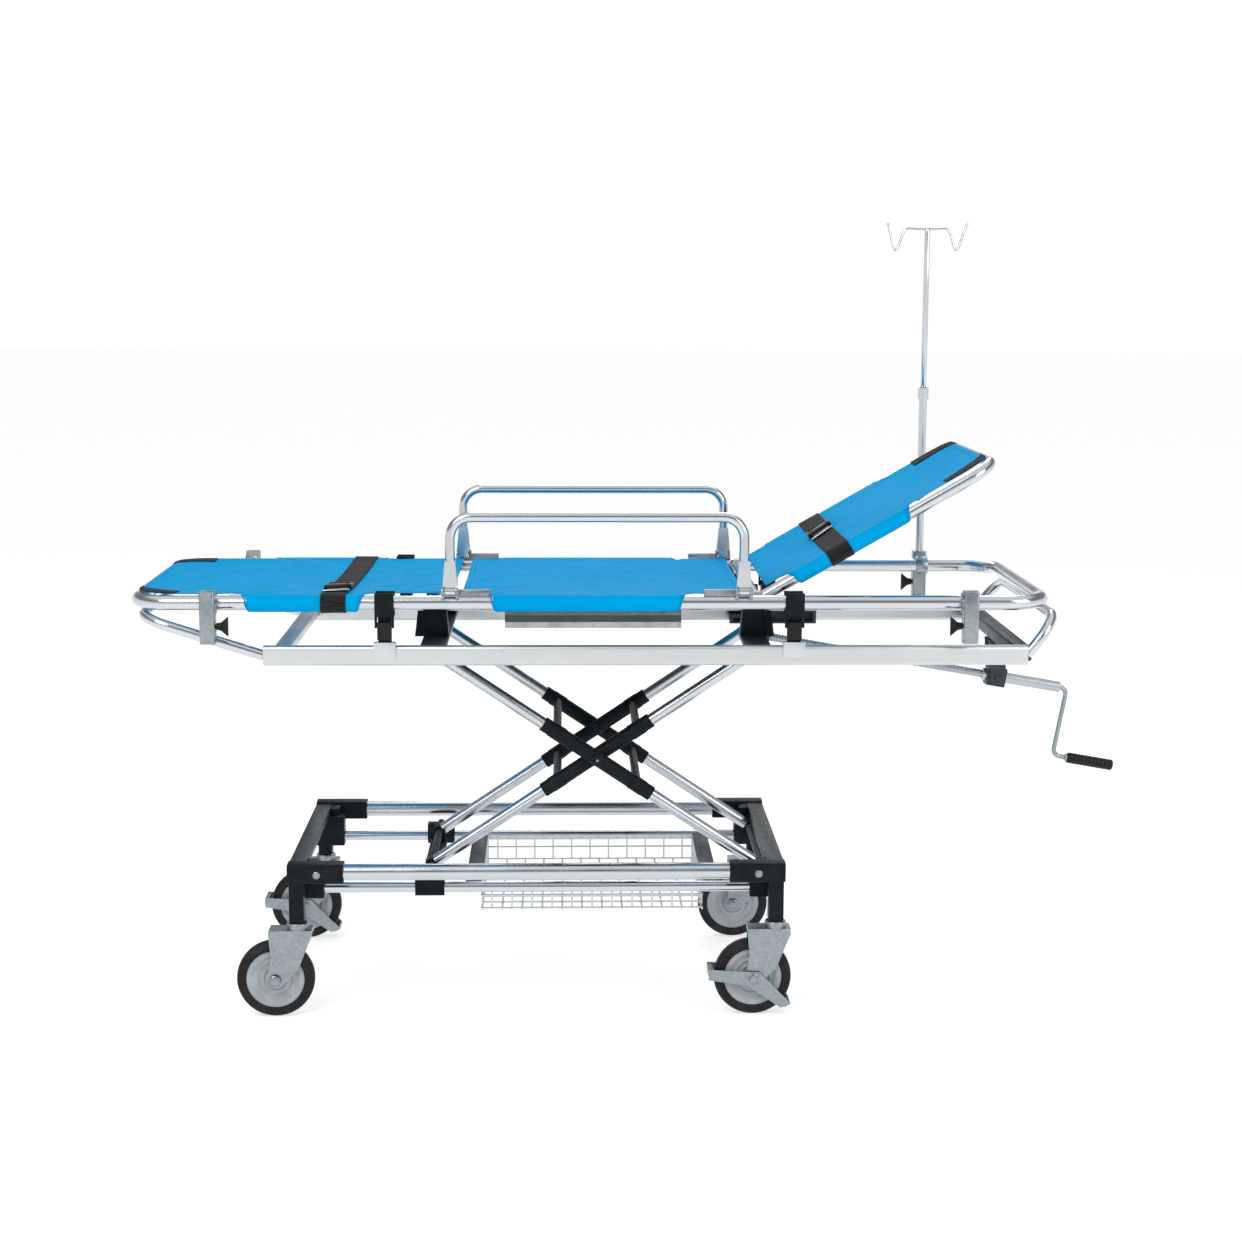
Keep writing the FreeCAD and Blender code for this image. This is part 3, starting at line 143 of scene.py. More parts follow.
def tube_along(name, path, radius, sides):
    """A round wire that follows the points of a path, as a mesh."""
    curve = bpy.data.curves.new(name + "_line", "CURVE")
    curve.dimensions = "3D"
    curve.bevel_depth = radius
    curve.bevel_resolution = sides // 4
    curve.use_fill_caps = True
    spline = curve.splines.new("POLY")
    spline.points.add(len(path) - 1)
    for slot, point in zip(spline.points, path):
        slot.co = (*point, 1)
    holder = add_object(name + "_line", curve)
    bpy.context.view_layer.update()
    mesh = bpy.data.meshes.new_from_object(holder.evaluated_get(bpy.context.evaluated_depsgraph_get()))
    bpy.data.objects.remove(holder)
    mesh.name = name
    for polygon in mesh.polygons:
        polygon.use_smooth = True
    return add_object(name, mesh)


def soft_block(name, size, place, turn, bevel):
    """A moulded block with rounded edges."""
    mesh = bpy.data.meshes.new(name)
    shape = bmesh.new()
    bmesh.ops.create_cube(shape, size=1)
    bmesh.ops.scale(shape, vec=size, verts=shape.verts)
    bmesh.ops.bevel(shape, geom=shape.edges[:], offset=bevel, segments=3, profile=0.5, affect="EDGES")
    bmesh.ops.transform(shape, matrix=Matrix.Translation(place) @ turn, verts=shape.verts)
    shape.to_mesh(mesh)
    shape.free()
    for polygon in mesh.polygons:
        polygon.use_smooth = True
    return add_object(name, mesh)


def thicken(piece, thickness):
    """Cloth thickness, half on each side of the mesh."""
    solid = piece.modifiers.new("thickness", "SOLIDIFY")
    solid.thickness = thickness
    solid.offset = 0
    return piece


def join(name, pieces):
    """Several meshes as one piece."""
    shape = bmesh.new()
    for piece in pieces:
        shape.from_mesh(piece.data)
        bpy.data.objects.remove(piece)
    mesh = bpy.data.meshes.new(name)
    shape.to_mesh(mesh)
    shape.free()
    return add_object(name, mesh)


def finish_piece(piece, body, material, replaces=()):
    """The piece's material, the body that carries it and the CAD nodes it stands for."""
    piece.data.materials.clear()
    piece.data.materials.append(material)
    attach(piece, body)
    if replaces:
        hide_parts(*replaces)
    return piece


# ---- materials --------------------------------------------------------------------------------------

def new_material(name, colour, roughness, metallic=0.0, **sockets):
    """A material, its node tree and its shader; sockets are the shader's other inputs by name."""
    material = bpy.data.materials.new(name)
    material.use_nodes = True
    shader = material.node_tree.nodes["Principled BSDF"]
    shader.inputs["Base Color"].default_value = (*colour, 1)
    shader.inputs["Roughness"].default_value = roughness
    shader.inputs["Metallic"].default_value = metallic
    for socket, amount in sockets.items():
        shader.inputs[socket.replace("_", " ")].default_value = amount
    return material, material.node_tree, shader


def node(tree, kind, **settings):
    """A shader node, with its inputs and properties set by name."""
    made = tree.nodes.new(kind)
    for name, setting in settings.items():
        if name in made.inputs:
            made.inputs[name].default_value = setting
        else:
            setattr(made, name, setting)
    return made


def place_on_object(tree, scale=(1, 1, 1), turn=(0, 0, 0)):
    """Coordinates in metres on the object, stretched or turned."""
    where = node(tree, "ShaderNodeTexCoord")
    mapping = node(tree, "ShaderNodeMapping", Scale=scale, Rotation=turn)
    tree.links.new(where.outputs["Object"], mapping.inputs["Vector"])
    return mapping.outputs["Vector"]


def grain(tree, where, scale, detail):
    """Soft cloudy noise, 0 to 1."""
    texture = node(tree, "ShaderNodeTexNoise", Scale=scale, Detail=detail, Roughness=0.55)
    tree.links.new(where, texture.inputs["Vector"])
    return texture.outputs["Fac"]


def cells(tree, where, scale):
    """Pebbles: the distance from the nearest of many scattered points."""
    texture = node(tree, "ShaderNodeTexVoronoi", feature="F1", Scale=scale)
    tree.links.new(where, texture.inputs["Vector"])
    return texture.outputs["Distance"]


def ridges(tree, where, scale, distortion, detail):
    """Fine parallel ridges, as of threads."""
    texture = node(tree, "ShaderNodeTexWave", Scale=scale, Distortion=distortion, Detail=detail)
    tree.links.new(where, texture.inputs["Vector"])
    return texture.outputs["Fac"]


def span(tree, value, low, high, from_low=0.3, from_high=0.7):
    """A texture's value moved into a range."""
    ranged = node(tree, "ShaderNodeMapRange")
    limits = {"From Min": from_low, "From Max": from_high, "To Min": low, "To Max": high}
    for socket, amount in limits.items():
        ranged.inputs[socket].default_value = amount
    tree.links.new(value, ranged.inputs["Value"])
    return ranged.outputs["Result"]


def two_tone(tree, shader, value, first, second):
    """The base colour runs from the first to the second with the value."""
    ramp = node(tree, "ShaderNodeValToRGB")
    ramp.color_ramp.elements[0].color = (*first, 1)
    ramp.color_ramp.elements[1].color = (*second, 1)
    tree.links.new(value, ramp.inputs["Fac"])
    tree.links.new(ramp.outputs["Color"], shader.inputs["Base Color"])


def roughen(tree, shader, value, low, high):
    """The roughness runs from low to high with the value."""
    tree.links.new(span(tree, value, low, high), shader.inputs["Roughness"])


def bumps(tree, shader, *layers):
    """Height layers given as (value, strength, height in metres), one on top of the other."""
    last = None
    for value, strength, height in layers:
        bump = node(tree, "ShaderNodeBump", Strength=strength, Distance=height)
        tree.links.new(value, bump.inputs["Height"])
        if last is not None:
            tree.links.new(last, bump.inputs["Normal"])
        last = bump.outputs["Normal"]
    tree.links.new(last, shader.inputs["Normal"])


def bright_metal(name, colour, polished, dull, stretch=(1, 1, 1), lines=0.10):
    """Drawn or polished metal: faint lines along its length and duller patches from handling."""
    material, tree, shader = new_material(name, colour, polished, 1.0)
    patches = grain(tree, place_on_object(tree), 9, 4)
    roughen(tree, shader, patches, polished, dull)
    darker = [0.93 * share for share in colour]
    two_tone(tree, shader, grain(tree, place_on_object(tree), 22, 5), darker, colour)
    drawn = grain(tree, place_on_object(tree, stretch), 420, 2)
    bumps(tree, shader, (drawn, lines, 0.0002))
    return material


def moulded(name, colour, roughness, pebbles=900, depth=0.18, worn=None, shine=0.22):
    """Moulded or powder-coated parts with a fine pebbled surface, paler where they are worn."""
    material, tree, shader = new_material(name, colour, roughness, Specular_IOR_Level=shine)
    where = place_on_object(tree)
    worn = worn or [min(1, 1.5 * share + 0.003) for share in colour]
    two_tone(tree, shader, span(tree, grain(tree, where, 34, 6), 0, 1, 0.42, 0.75), colour, worn)
    roughen(tree, shader, grain(tree, where, 60, 4), roughness - 0.06, roughness + 0.10)
    bumps(tree, shader, (cells(tree, where, pebbles), depth, 0.0003),
          (grain(tree, where, 180, 3), 0.08, 0.0006))
    return material


def zinc_plate(name):
    """Blue-grey plated steel with faint spangles and dull handling marks."""
    material, tree, shader = new_material(name, (0.29, 0.33, 0.35), 0.34, 1.0)
    where = place_on_object(tree)
    two_tone(tree, shader, cells(tree, where, 140), (0.25, 0.29, 0.31), (0.34, 0.38, 0.40))
    roughen(tree, shader, grain(tree, where, 45, 5), 0.26, 0.46)
    bumps(tree, shader, (grain(tree, where, 320, 3), 0.12, 0.0002))
    return material


def tyre_rubber(name):
    """Matt black rubber with a little floor dust on it."""
    material, tree, shader = new_material(name, (0.016, 0.016, 0.017), 0.62, Specular_IOR_Level=0.25)
    where = place_on_object(tree)
    dust = span(tree, grain(tree, where, 28, 6), 0, 1, 0.45, 0.8)
    two_tone(tree, shader, dust, (0.008, 0.008, 0.009), (0.026, 0.025, 0.024))
    roughen(tree, shader, grain(tree, where, 70, 4), 0.52, 0.78)
    bumps(tree, shader, (grain(tree, where, 650, 4), 0.20, 0.0004))
    return material


def blue_vinyl(name):
    """Coated fabric: the weave shows faintly through a soft, slightly glossy skin."""
    material, tree, shader = new_material(name, (0.0, 0.31, 0.63), 0.50, 0.0, IOR=1.2,
                                          Specular_IOR_Level=0.05)
    where = place_on_object(tree)
    two_tone(tree, shader, grain(tree, where, 5, 5), (0.0, 0.275, 0.585), (0.0, 0.335, 0.675))
    roughen(tree, shader, grain(tree, where, 26, 4), 0.40, 0.56)
    warp, weft = [ridges(tree, place_on_object(tree, turn=(0, 0, turn)), 160, 0.4, 1.0)
                  for turn in (0, math.pi / 2)]
    bumps(tree, shader, (warp, 0.06, 0.0003), (weft, 0.06, 0.0003),
          (cells(tree, where, 1100), 0.14, 0.0003), (grain(tree, where, 14, 3), 0.18, 0.004))
    return material


def webbing(name, colour, pale):
    """Woven belt: ribs across it and a finer crossing thread."""
    material, tree, shader = new_material(name, colour, 0.78, 0.0, Sheen_Weight=0.06,
                                          Sheen_Roughness=0.5, Specular_IOR_Level=0.15)
    ribs = ridges(tree, place_on_object(tree, turn=(0, 0, math.pi / 2)), 210, 0.6, 2.0)
    cross = ridges(tree, place_on_object(tree), 330, 0.8, 2.0)
    two_tone(tree, shader, ribs, colour, pale)
    bumps(tree, shader, (ribs, 0.55, 0.0006), (cross, 0.35, 0.0004))
    return material


def pan_sheet(name):
    """Dark plastic sheet with a pressed linen grain. Its near-black teal is partly the sheet's own colour and
    partly painted shade: the darkness under the seat cover is taken into the colour.
    """
    material, tree, shader = new_material(name, (0.035, 0.055, 0.058), 0.5, Specular_IOR_Level=0.3)
    where = place_on_object(tree)
    two_tone(tree, shader, grain(tree, where, 12, 5), (0.024, 0.044, 0.048), (0.055, 0.070, 0.070))
    roughen(tree, shader, grain(tree, where, 40, 4), 0.40, 0.60)
    weave = ridges(tree, where, 240, 0.5, 1.0)
    bumps(tree, shader, (weave, 0.25, 0.0004), (grain(tree, where, 500, 3), 0.2, 0.0003))
    return material


MATERIALS = {
    "grey_paint": bright_metal("wire_zinc", (0.66, 0.68, 0.69), 0.30, 0.46),
    "black_casting": moulded("black_casting", (0.006, 0.009, 0.011), 0.42, shine=0.10),
    "dark_paint": moulded("dark_paint", (0.028, 0.034, 0.037), 0.38, 1400, 0.10),
    "zinc": zinc_plate("zinc_plate"),
    "chrome_tube": bright_metal("polished_tube", (0.60, 0.63, 0.66), 0.12, 0.24, (0.02, 1, 1)),
    "bright_aluminium": bright_metal("drawn_aluminium", (0.58, 0.61, 0.64), 0.16, 0.30, (0.04, 1, 1)),
    "deck_extrusion": bright_metal("satin_extrusion", (0.62, 0.64, 0.64), 0.34, 0.48, (0.01, 1, 1),
                                   lines=0.2),
    "black_rubber": tyre_rubber("tyre_rubber"),
    "hub_plastic": moulded("hub_grey", (0.31, 0.34, 0.36), 0.40, 700, 0.10, (0.40, 0.43, 0.45), 0.4),
    "black_plastic": moulded("black_plastic", (0.006, 0.006, 0.007), 0.30, 1500, 0.06),
    "blue_vinyl": blue_vinyl("blue_vinyl"),
    "black_webbing": webbing("black_webbing", (0.005, 0.005, 0.006), (0.018, 0.018, 0.018)),
    # the pan's near-black teal is partly painted shade from under the seat cover
    "pan_sheet": pan_sheet("pan_plastic_and_painted_shade"),
    "steel_rod": bright_metal("bright_steel", (0.46, 0.49, 0.52), 0.22, 0.38),
}


# ---- camera, floor and light ------------------------------------------------------------------------

CAMERA_PLACE = (-0.1572, -4.4527, 1.5037)
CAMERA_YAW = -0.0268053     # radians, as are the next two
CAMERA_DOWN = 0.160963
CAMERA_ROLL = 0.0036856
SENSOR_WIDTH = 36       # millimetres, as is the focal length
FOCAL_LENGTH = 61.17
FLOOR_HALF = 40


def camera():
    """The camera stands on the near side, higher than the covers, and looks slightly down."""
    lens = bpy.data.cameras.new("camera")
    lens.sensor_width = SENSOR_WIDTH
    lens.lens = FOCAL_LENGTH
    eye = add_object("camera", lens)
    yaw = Matrix.Rotation(CAMERA_YAW, 4, "Z")
    pitch = Matrix.Rotation(math.pi / 2 - CAMERA_DOWN, 4, "X")
    roll = Matrix.Rotation(CAMERA_ROLL, 4, "Z")
    eye.matrix_world = Matrix.Translation(CAMERA_PLACE) @ yaw @ pitch @ roll
    bpy.context.scene.camera = eye


def floor():
    """A pale floor that glows a little, so that it fades into the room."""
    corners = [(x * FLOOR_HALF, y * FLOOR_HALF, 0) for x, y in ((-1, -1), (1, -1), (1, 1), (-1, 1))]
    plane = mesh_piece("floor", corners, [(0, 1, 2, 3)])
    material, tree, shader = new_material("floor_pale", (0.60, 0.60, 0.60), 0.9, Specular_IOR_Level=0.0,
                                          Emission_Color=(1, 1, 1, 1), Emission_Strength=0.60)
    two_tone(tree, shader, grain(tree, place_on_object(tree), 3, 4), (0.595, 0.595, 0.595),
             (0.605, 0.605, 0.605))
    plane.data.materials.append(material)
    plane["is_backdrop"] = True


def area_light(name, place, target, size, power):
    """A rectangular lamp aimed at a point."""
    light = bpy.data.lights.new(name, "AREA")
    light.shape = "RECTANGLE"
    light.size, light.size_y = size
    light.energy = power
    lamp = add_object(name, light)
    lamp.location = place
    aim = Vector(target) - Vector(place)
    lamp.rotation_euler = aim.to_track_quat("-Z", "Y").to_euler()


def lights():
    """A pale room with a darker band round it, for the tubes to reflect, and three large soft lamps."""
    world = bpy.data.worlds.new("studio")
    bpy.context.scene.world = world
    world.use_nodes = True
    tree = world.node_tree
    sky = tree.nodes["Background"]
    where = node(tree, "ShaderNodeTexCoord")
    split = node(tree, "ShaderNodeSeparateXYZ")
    ramp = node(tree, "ShaderNodeValToRGB")
    ramp.color_ramp.elements[0].color = (1.0, 1.0, 1.0, 1)
    ramp.color_ramp.elements[1].color = (0.92, 0.92, 0.92, 1)
    for height, level in ((0.14, 1.0), (0.22, 0.28), (0.60, 0.23), (0.80, 0.92)):
        stop = ramp.color_ramp.elements.new(height)
        stop.color = (level, level, 1.02 * level, 1)
    tree.links.new(where.outputs["Generated"], split.inputs["Vector"])
    tree.links.new(split.outputs["Z"], ramp.inputs["Fac"])
    tree.links.new(ramp.outputs["Color"], sky.inputs["Color"])
    sky.inputs["Strength"].default_value = 1.02
    middle = (cad_bounds[0] + cad_bounds[1]) / 2
    area_light("key", (-2.6, -3.6, 4.2), middle, (2.6, 2.6), 120)
    area_light("fill", (3.4, -2.8, 2.6), middle, (2.2, 2.2), 60)
    area_light("back", (0.6, 3.8, 3.8), middle, (3.0, 2.0), 70)
    view = bpy.context.scene.view_settings
    view.view_transform = "Standard"
    view.look = "None"


# ---- the CAD nodes ----------------------------------------------------------------------------------

BOXY = ("corner_castings", "clamp_posts", "rest_blocks", "foot_carriage", "screw_bearing", "deck_rails",
        "deck_cross_members", "guard_brackets", "pole_sockets", "lift_nut", "base_cross_members",
        "arm_a_fittings", "arm_b_fittings")
SMOOTH_UP_TO = math.radians(32)
FOOT_MEMBER = 0.05          # the deck's foot-end cross member lies within this of the rails' ends
POST_SADDLE = 0.009         # how far the clamp posts' saddles rise over the rails


def bare_faces(name, is_bare):
    """The faces of a node that show plain aluminium instead of the node's own finish."""
    mesh = frame["nodes"][name].data
    mesh.materials.append(MATERIALS["deck_extrusion"])
    for polygon in mesh.polygons:
        if is_bare(polygon.center):
            polygon.material_index = 1


def soften_edges(piece):
    """Narrow rounded edges, added by a modifier over the unchanged mesh."""
    weld = piece.modifiers.new("weld", "WELD")
    weld.merge_threshold = 0.00001
    edge = piece.modifiers.new("edge", "BEVEL")
    edge.width = 0.0007
    edge.segments = 2
    edge.angle_limit = math.radians(40)
    edge.harden_normals = True


def dress_frame():
    """Every CAD node gets its slot's material and smooth shading; cast and milled ones, softened edges."""
    slots = {part["node"]: part["material_slot"] for part in frame["record"]["subparts"]}
    for name, piece in frame["nodes"].items():
        piece.data.materials.clear()
        piece.data.materials.append(MATERIALS[slots[name]])
        for polygon in piece.data.polygons:
            polygon.use_smooth = True
        piece.data.set_sharp_from_angle(angle=SMOOTH_UP_TO)
        if name in BOXY:
            soften_edges(piece)
    rails_low, rails_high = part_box("deck_rails")
    bare_faces("deck_cross_members", lambda spot: spot.x < rails_low.x + FOOT_MEMBER)
    bare_faces("clamp_posts", lambda spot: spot.z < rails_high.z + POST_SADDLE)


# ---- covers -----------------------------------------------------------------------------------------

EDGE_GAP = 0.006        # clear strip between an unwrapped edge and its tube
WRAP_TURN = 3.5         # how far the cloth goes round a tube, in radians
WRAP_OUTSIDE = 0.017    # a wrap's edge curves over this much of the cover outside it
WRAP_INSIDE = 0.013     # and this much inside it
SAG_ON_TUBE = 0.0014
SAG_BETWEEN = 0.0062
WAVE = 0.0011           # height of the cloth's slow unevenness
FINE_WAVE = 0.0004
FOLD = 0.0017           # height of the folds that fan out from a wrap's corners
FOLD_LENGTH = 0.07
FOLDS = 11              # folds to a radian
HEM = 0.015             # width of the folded edges
HEM_RISE = 0.0008
SEAM = 0.011            # the stitches' distance from the edge
ROW = 0.005             # spacing of the mesh rows and of the stitches
TRIM = 0.0014           # thickness of the corner reinforcements
LIFT = 0.0001           # air under the stitches and the straps


def smooth(value, low, high):
    """0 up to the low value, 1 from the high one, and an easy curve between them."""
    share = min(1, max(0, (value - low) / (high - low)))
    return share * share * (3 - 2 * share)


class Bed:
    """Two parallel tubes that carry a cover. Along runs lengthways, across outwards from the middle."""

    def __init__(self, origin, lean, tube_y, tube_r, corner_at, corner_way, bend):
        self.origin = origin
        self.ahead = Vector((math.cos(lean), 0, math.sin(lean)))
        self.up = Vector((-math.sin(lean), 0, math.cos(lean)))
        self.tube_y = tube_y
        self.tube_r = tube_r
        self.corner_at = corner_at
        self.corner_way = corner_way
        self.bend = bend
        self.end_at = corner_at + corner_way * bend

    def spot(self, along, across, out, dip):
        """A place on the cover: flat between the tubes, then round the outside of one of them."""
        radius = self.tube_r + GAP + SHEET / 2
        side = 1 if across >= 0 else -1
        wide = abs(across)
        height = radius + out - dip
        if wide > self.tube_y:
            turn = (wide - self.tube_y) / radius
            wide = self.tube_y + (radius + out) * math.sin(turn)
            height = (radius + out) * math.cos(turn)
        return self.origin + along * self.ahead + height * self.up + Vector((0, side * wide, 0))

    def inner(self, along):
        """Half of the clear width between the tubes, narrower in the bends up to the tube across the end."""
        past = max(0, self.corner_way * (along - self.corner_at)) / self.bend
        round_corner = math.sqrt(max(1 - past * past, 0))
        return self.tube_y - self.bend + (self.bend - self.tube_r - EDGE_GAP) * round_corner

    def off_end(self, along):
        """0 on the tube across the closed end, 1 well away from it."""
        return smooth(abs(along - self.end_at), self.tube_r, 0.12)


class Cover:
    """A cloth over a bed's two tubes, wrapped round them between two places along it."""

    def __init__(self, name, bed, start, stop, wrap_from, wrap_to, crosses, seed):
        self.name = name
        self.bed = bed
        self.start = start
        self.stop = stop
        self.wrap = (wrap_from, wrap_to)
        self.crosses = crosses
        self.seed = seed

    def reach(self, along):
        """Half of the cover's width, measured along the cloth."""
        inner = self.bed.inner(along)
        wrapped = self.bed.tube_y + WRAP_TURN * (self.bed.tube_r + GAP)
        first, last = self.wrap
        begins = smooth(along, first - WRAP_OUTSIDE, first + WRAP_INSIDE)
        ends = 1 - smooth(along, last - WRAP_INSIDE, last + WRAP_OUTSIDE)
        return inner + begins * ends * (wrapped - inner)

    def dip(self, along, across):
        """The cloth sags a little between the tubes, less over a cross tube, and puckers at the wraps."""
        tube_y = self.bed.tube_y
        wide = min(abs(across), tube_y)
        clear = min(abs(along - cross) for cross in self.crosses)
        sag = (SAG_ON_TUBE + SAG_BETWEEN * smooth(clear, 0.01, 0.14)) * (1 - (wide / tube_y) ** 2)
        spot = Vector((along * 9, across * 9, self.seed))
        pucker = WAVE * noise.noise(spot) + FINE_WAVE * noise.noise(3.3 * spot)
        for corner in self.wrap:
            ahead = along - corner
            inward = tube_y - wide
            distance = math.hypot(ahead, inward)
            fan = math.sin(FOLDS * math.atan2(inward, ahead) + self.seed + (1 if across > 0 else 0))
            pucker += FOLD * smooth(distance, 0, 0.03) * math.exp(-distance / FOLD_LENGTH) * fan
        return (sag + pucker * smooth(tube_y - wide, 0, 0.035)) * self.bed.off_end(along)

    def spot(self, along, across, out):
        """A place on the cover, or that far out from it."""
        return self.bed.spot(along, across, out, self.dip(along, across))

    def rows(self):
        """Places along the cover, from end to end."""
        count = round((self.stop - self.start) / ROW)
        return [self.start + (self.stop - self.start) * row / count for row in range(count + 1)]

    def area(self):
        """The flat area of the cut cloth."""
        widths = [2 * self.reach(along) for along in self.rows()]
        return sum(widths) / len(widths) * (self.stop - self.start)


FLAT = Bed(Vector((0, 0, RAIL_Z)), 0, RAIL_Y, RAIL_R, FOOT_X + CORNER_BEND, -1, CORNER_BEND)
BACK = Bed(BACK_HINGE, BACK_LEAN, BACK_Y, BACK_R, BACK_LENGTH - BACK_BEND, 1, BACK_BEND)
LEG_COVER = Cover("leg_cover", FLAT, start=FOOT_X + 0.001, stop=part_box("leg_cover")[1].x,
                  wrap_from=-0.794, wrap_to=-0.564, crosses=(-0.775, CROSS_TUBE_X), seed=1.7)
SEAT_COVER = Cover("seat_cover", FLAT, start=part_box("seat_cover")[0].x, stop=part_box("seat_cover")[1].x,
                   wrap_from=-0.304, wrap_to=0.076, crosses=(CROSS_TUBE_X, 0.23), seed=4.1)
BACK_COVER = Cover("backrest_cover", BACK, start=0.03, stop=BACK_LENGTH - 0.001,
                   wrap_from=0.088, wrap_to=0.352, crosses=(0.0, BACK_LENGTH / 2), seed=8.3)
LEG_TRIM = (FOOT_X, -0.935, 0.040)              # the corner reinforcements' start, stop and width
BACK_TRIM = (0.45, BACK_LENGTH, 0.050)


def across_shares(middle, edge):
    """Places across a cover as shares of its half-width, closer together where it goes round a tube."""
    bend_at = 0.76
    inner = [bend_at * step / middle for step in range(middle)]
    outer = [bend_at + (1 - bend_at) * step / edge for step in range(edge + 1)]
    right = inner + outer
    return [-share for share in reversed(right[1:])] + right


def hem_height(cover, along, across):
    """Folded and sewn edges stand a little proud."""
    edge = min(cover.reach(along) - abs(across), along - cover.start, cover.stop - along)
    return HEM_RISE * (1 - smooth(edge, HEM - 0.002, HEM))


def cover_cloth(cover):
    """The cloth itself, with its hems."""
    shares = across_shares(44, 30)
    points = []
    for along in cover.rows():
        half = cover.reach(along)
        for share in shares:
            points.append(cover.spot(along, share * half, hem_height(cover, along, share * half)))
    cloth = mesh_piece(cover.name + "_cloth", points, grid_faces(len(cover.rows()), len(shares)))
    return thicken(cloth, SHEET)


def stitch(first, last, outward):
    """One thread stitch: a low six-pointed bead between its two needle holes."""
    middle = (first + last) / 2
    half = 0.0005
    aside = (last - first).cross(outward).normalized() * half
    lift = outward.normalized() * half
    return [first, last, middle + aside + 0.4 * lift, middle - aside + 0.4 * lift, middle + lift,
            middle - 0.4 * lift]


STITCH_FACES = ((0, 2, 4), (0, 4, 3), (1, 4, 2), (1, 3, 4), (0, 5, 2), (0, 3, 5), (1, 2, 5), (1, 5, 3))


def sew(name, runs, surface):
    """Rows of stitches. A run is a list of (along, across) places; surface gives the point over each."""
    points = []
    faces = []
    length = 0.68       # of the spacing; the rest is the gap between two stitches
    for run in runs:
        for (along, across), (next_along, next_across) in zip(run[:-1], run[1:]):
            ahead = along + length * (next_along - along)
            aside = across + length * (next_across - across)
            first = surface(along, across, 0)
            last = surface(ahead, aside, 0)
            outward = surface(along, across, 0.002) - first
            base = len(points)
            points += stitch(first, last, outward)
            faces += [tuple(base + corner for corner in face) for face in STITCH_FACES]
    return mesh_piece(name, points, faces)


def cover_stitches(cover):
    """A line of stitches along each of the cover's four hems."""
    top = SHEET / 2 + HEM_RISE + LIFT
    runs = []
    for side in (-1, 1):
        runs.append([(along, side * (cover.reach(along) - SEAM)) for along in cover.rows()
                     if cover.start + SEAM <= along <= cover.stop - SEAM])
    for along in (cover.start + SEAM, cover.stop - SEAM):
        half = cover.reach(along) - SEAM
        count = int(2 * half / ROW)
        runs.append([(along, -half + 2 * half * step / count) for step in range(count + 1)])
    return sew(cover.name + "_stitches", runs,
               lambda along, across, out: cover.spot(along, across, top + out))


def corner_trim(cover, start, stop, width):
    """Black reinforcement sewn over both corners of the cover's closed end."""
    patches = []
    rows = 24
    columns = 12
    overhang = 0.0012
    top = SHEET / 2 + 2 * HEM_RISE
    for side, sign in SIDES:
        points = []
        for row in range(rows):
            along = start + (stop - start) * row / (rows - 1)
            edge = cover.reach(along) + overhang
            for column in range(columns):
                across = edge - width * column / (columns - 1)
                points.append(cover.spot(along, sign * across, top))
        patch = mesh_piece(f"{cover.name}_trim_{side}", points, grid_faces(rows, columns))
        patches.append(thicken(patch, TRIM))
    return patches


def fit_cover(cover, body, thread, trim):
    """A finished cover with its stitches and corner reinforcements."""
    cloth = finish_piece(cover_cloth(cover), body, MATERIALS["blue_vinyl"], (cover.name,))
    extras = [finish_piece(cover_stitches(cover), body, thread)]
    if trim:
        extras += [finish_piece(patch, body, MATERIALS["black_webbing"])
                   for patch in corner_trim(cover, *trim)]
    width = 2 * max(cover.reach(along) for along in cover.rows())
    cover.area()


def covers():
    """The leg, seat and backrest covers."""
    thread = moulded("thread", (0.0, 0.20, 0.46), 0.6, 2600, 0.2)
    fit_cover(LEG_COVER, "stretcher", thread, LEG_TRIM)
    fit_cover(SEAT_COVER, "stretcher", thread, None)
    fit_cover(BACK_COVER, "backrest", thread, BACK_TRIM)


# ---- straps -----------------------------------------------------------------------------------------

STRAP_W = 0.05
STRAP_TURN = 4.3        # how far a strap goes round a tube, in radians
SELVEDGE = 0.022        # beyond this from its middle line, the webbing stands a little higher
SELVEDGE_RISE = 0.0002
STITCH_STEP = 0.0035
STITCH_ROWS = (0.205, 0.212)    # the rows' distances from the middle of the cover


def strap(name, cover, at, slant, body):
    """A webbing belt over a cover and round both of its tubes."""
    bed = cover.bed
    half = bed.tube_y + STRAP_TURN * (bed.tube_r + GAP)
    lift = SHEET / 2 + HEM_RISE + LIFT + STRAP / 2

    def surface(along, across, out):
        shift = at + math.tan(slant) * max(-bed.tube_y, min(bed.tube_y, across))
        ripple = 0.0005 * noise.noise(Vector((30 * along, 14 * across, 3)))
        return cover.spot(shift + along, across, lift + ripple + out)

    columns = [share * half for share in across_shares(60, 44)]
    rows = [STRAP_W * (row / 10 - 0.5) for row in range(11)]
    points = []
    for along in rows:
        edge = SELVEDGE_RISE if abs(along) > SELVEDGE else 0
        points += [surface(along, across, edge) for across in columns]
    band = thicken(mesh_piece(name + "_band", points, grid_faces(len(rows), len(columns))), STRAP)
    finish_piece(band, body, MATERIALS["black_webbing"], (name,))
    runs = []
    for side in (-1, 1):
        for place in STITCH_ROWS:
            runs.append([(STITCH_STEP * step, side * place) for step in range(-6, 7)])
    seams = sew(name + "_stitches", runs,
                lambda along, across, out: surface(along, across, STRAP / 2 + out))
    thread = moulded("strap_thread", (0.10, 0.10, 0.10), 0.6, 2600, 0.2)
    finish_piece(seams, body, thread)
    return surface


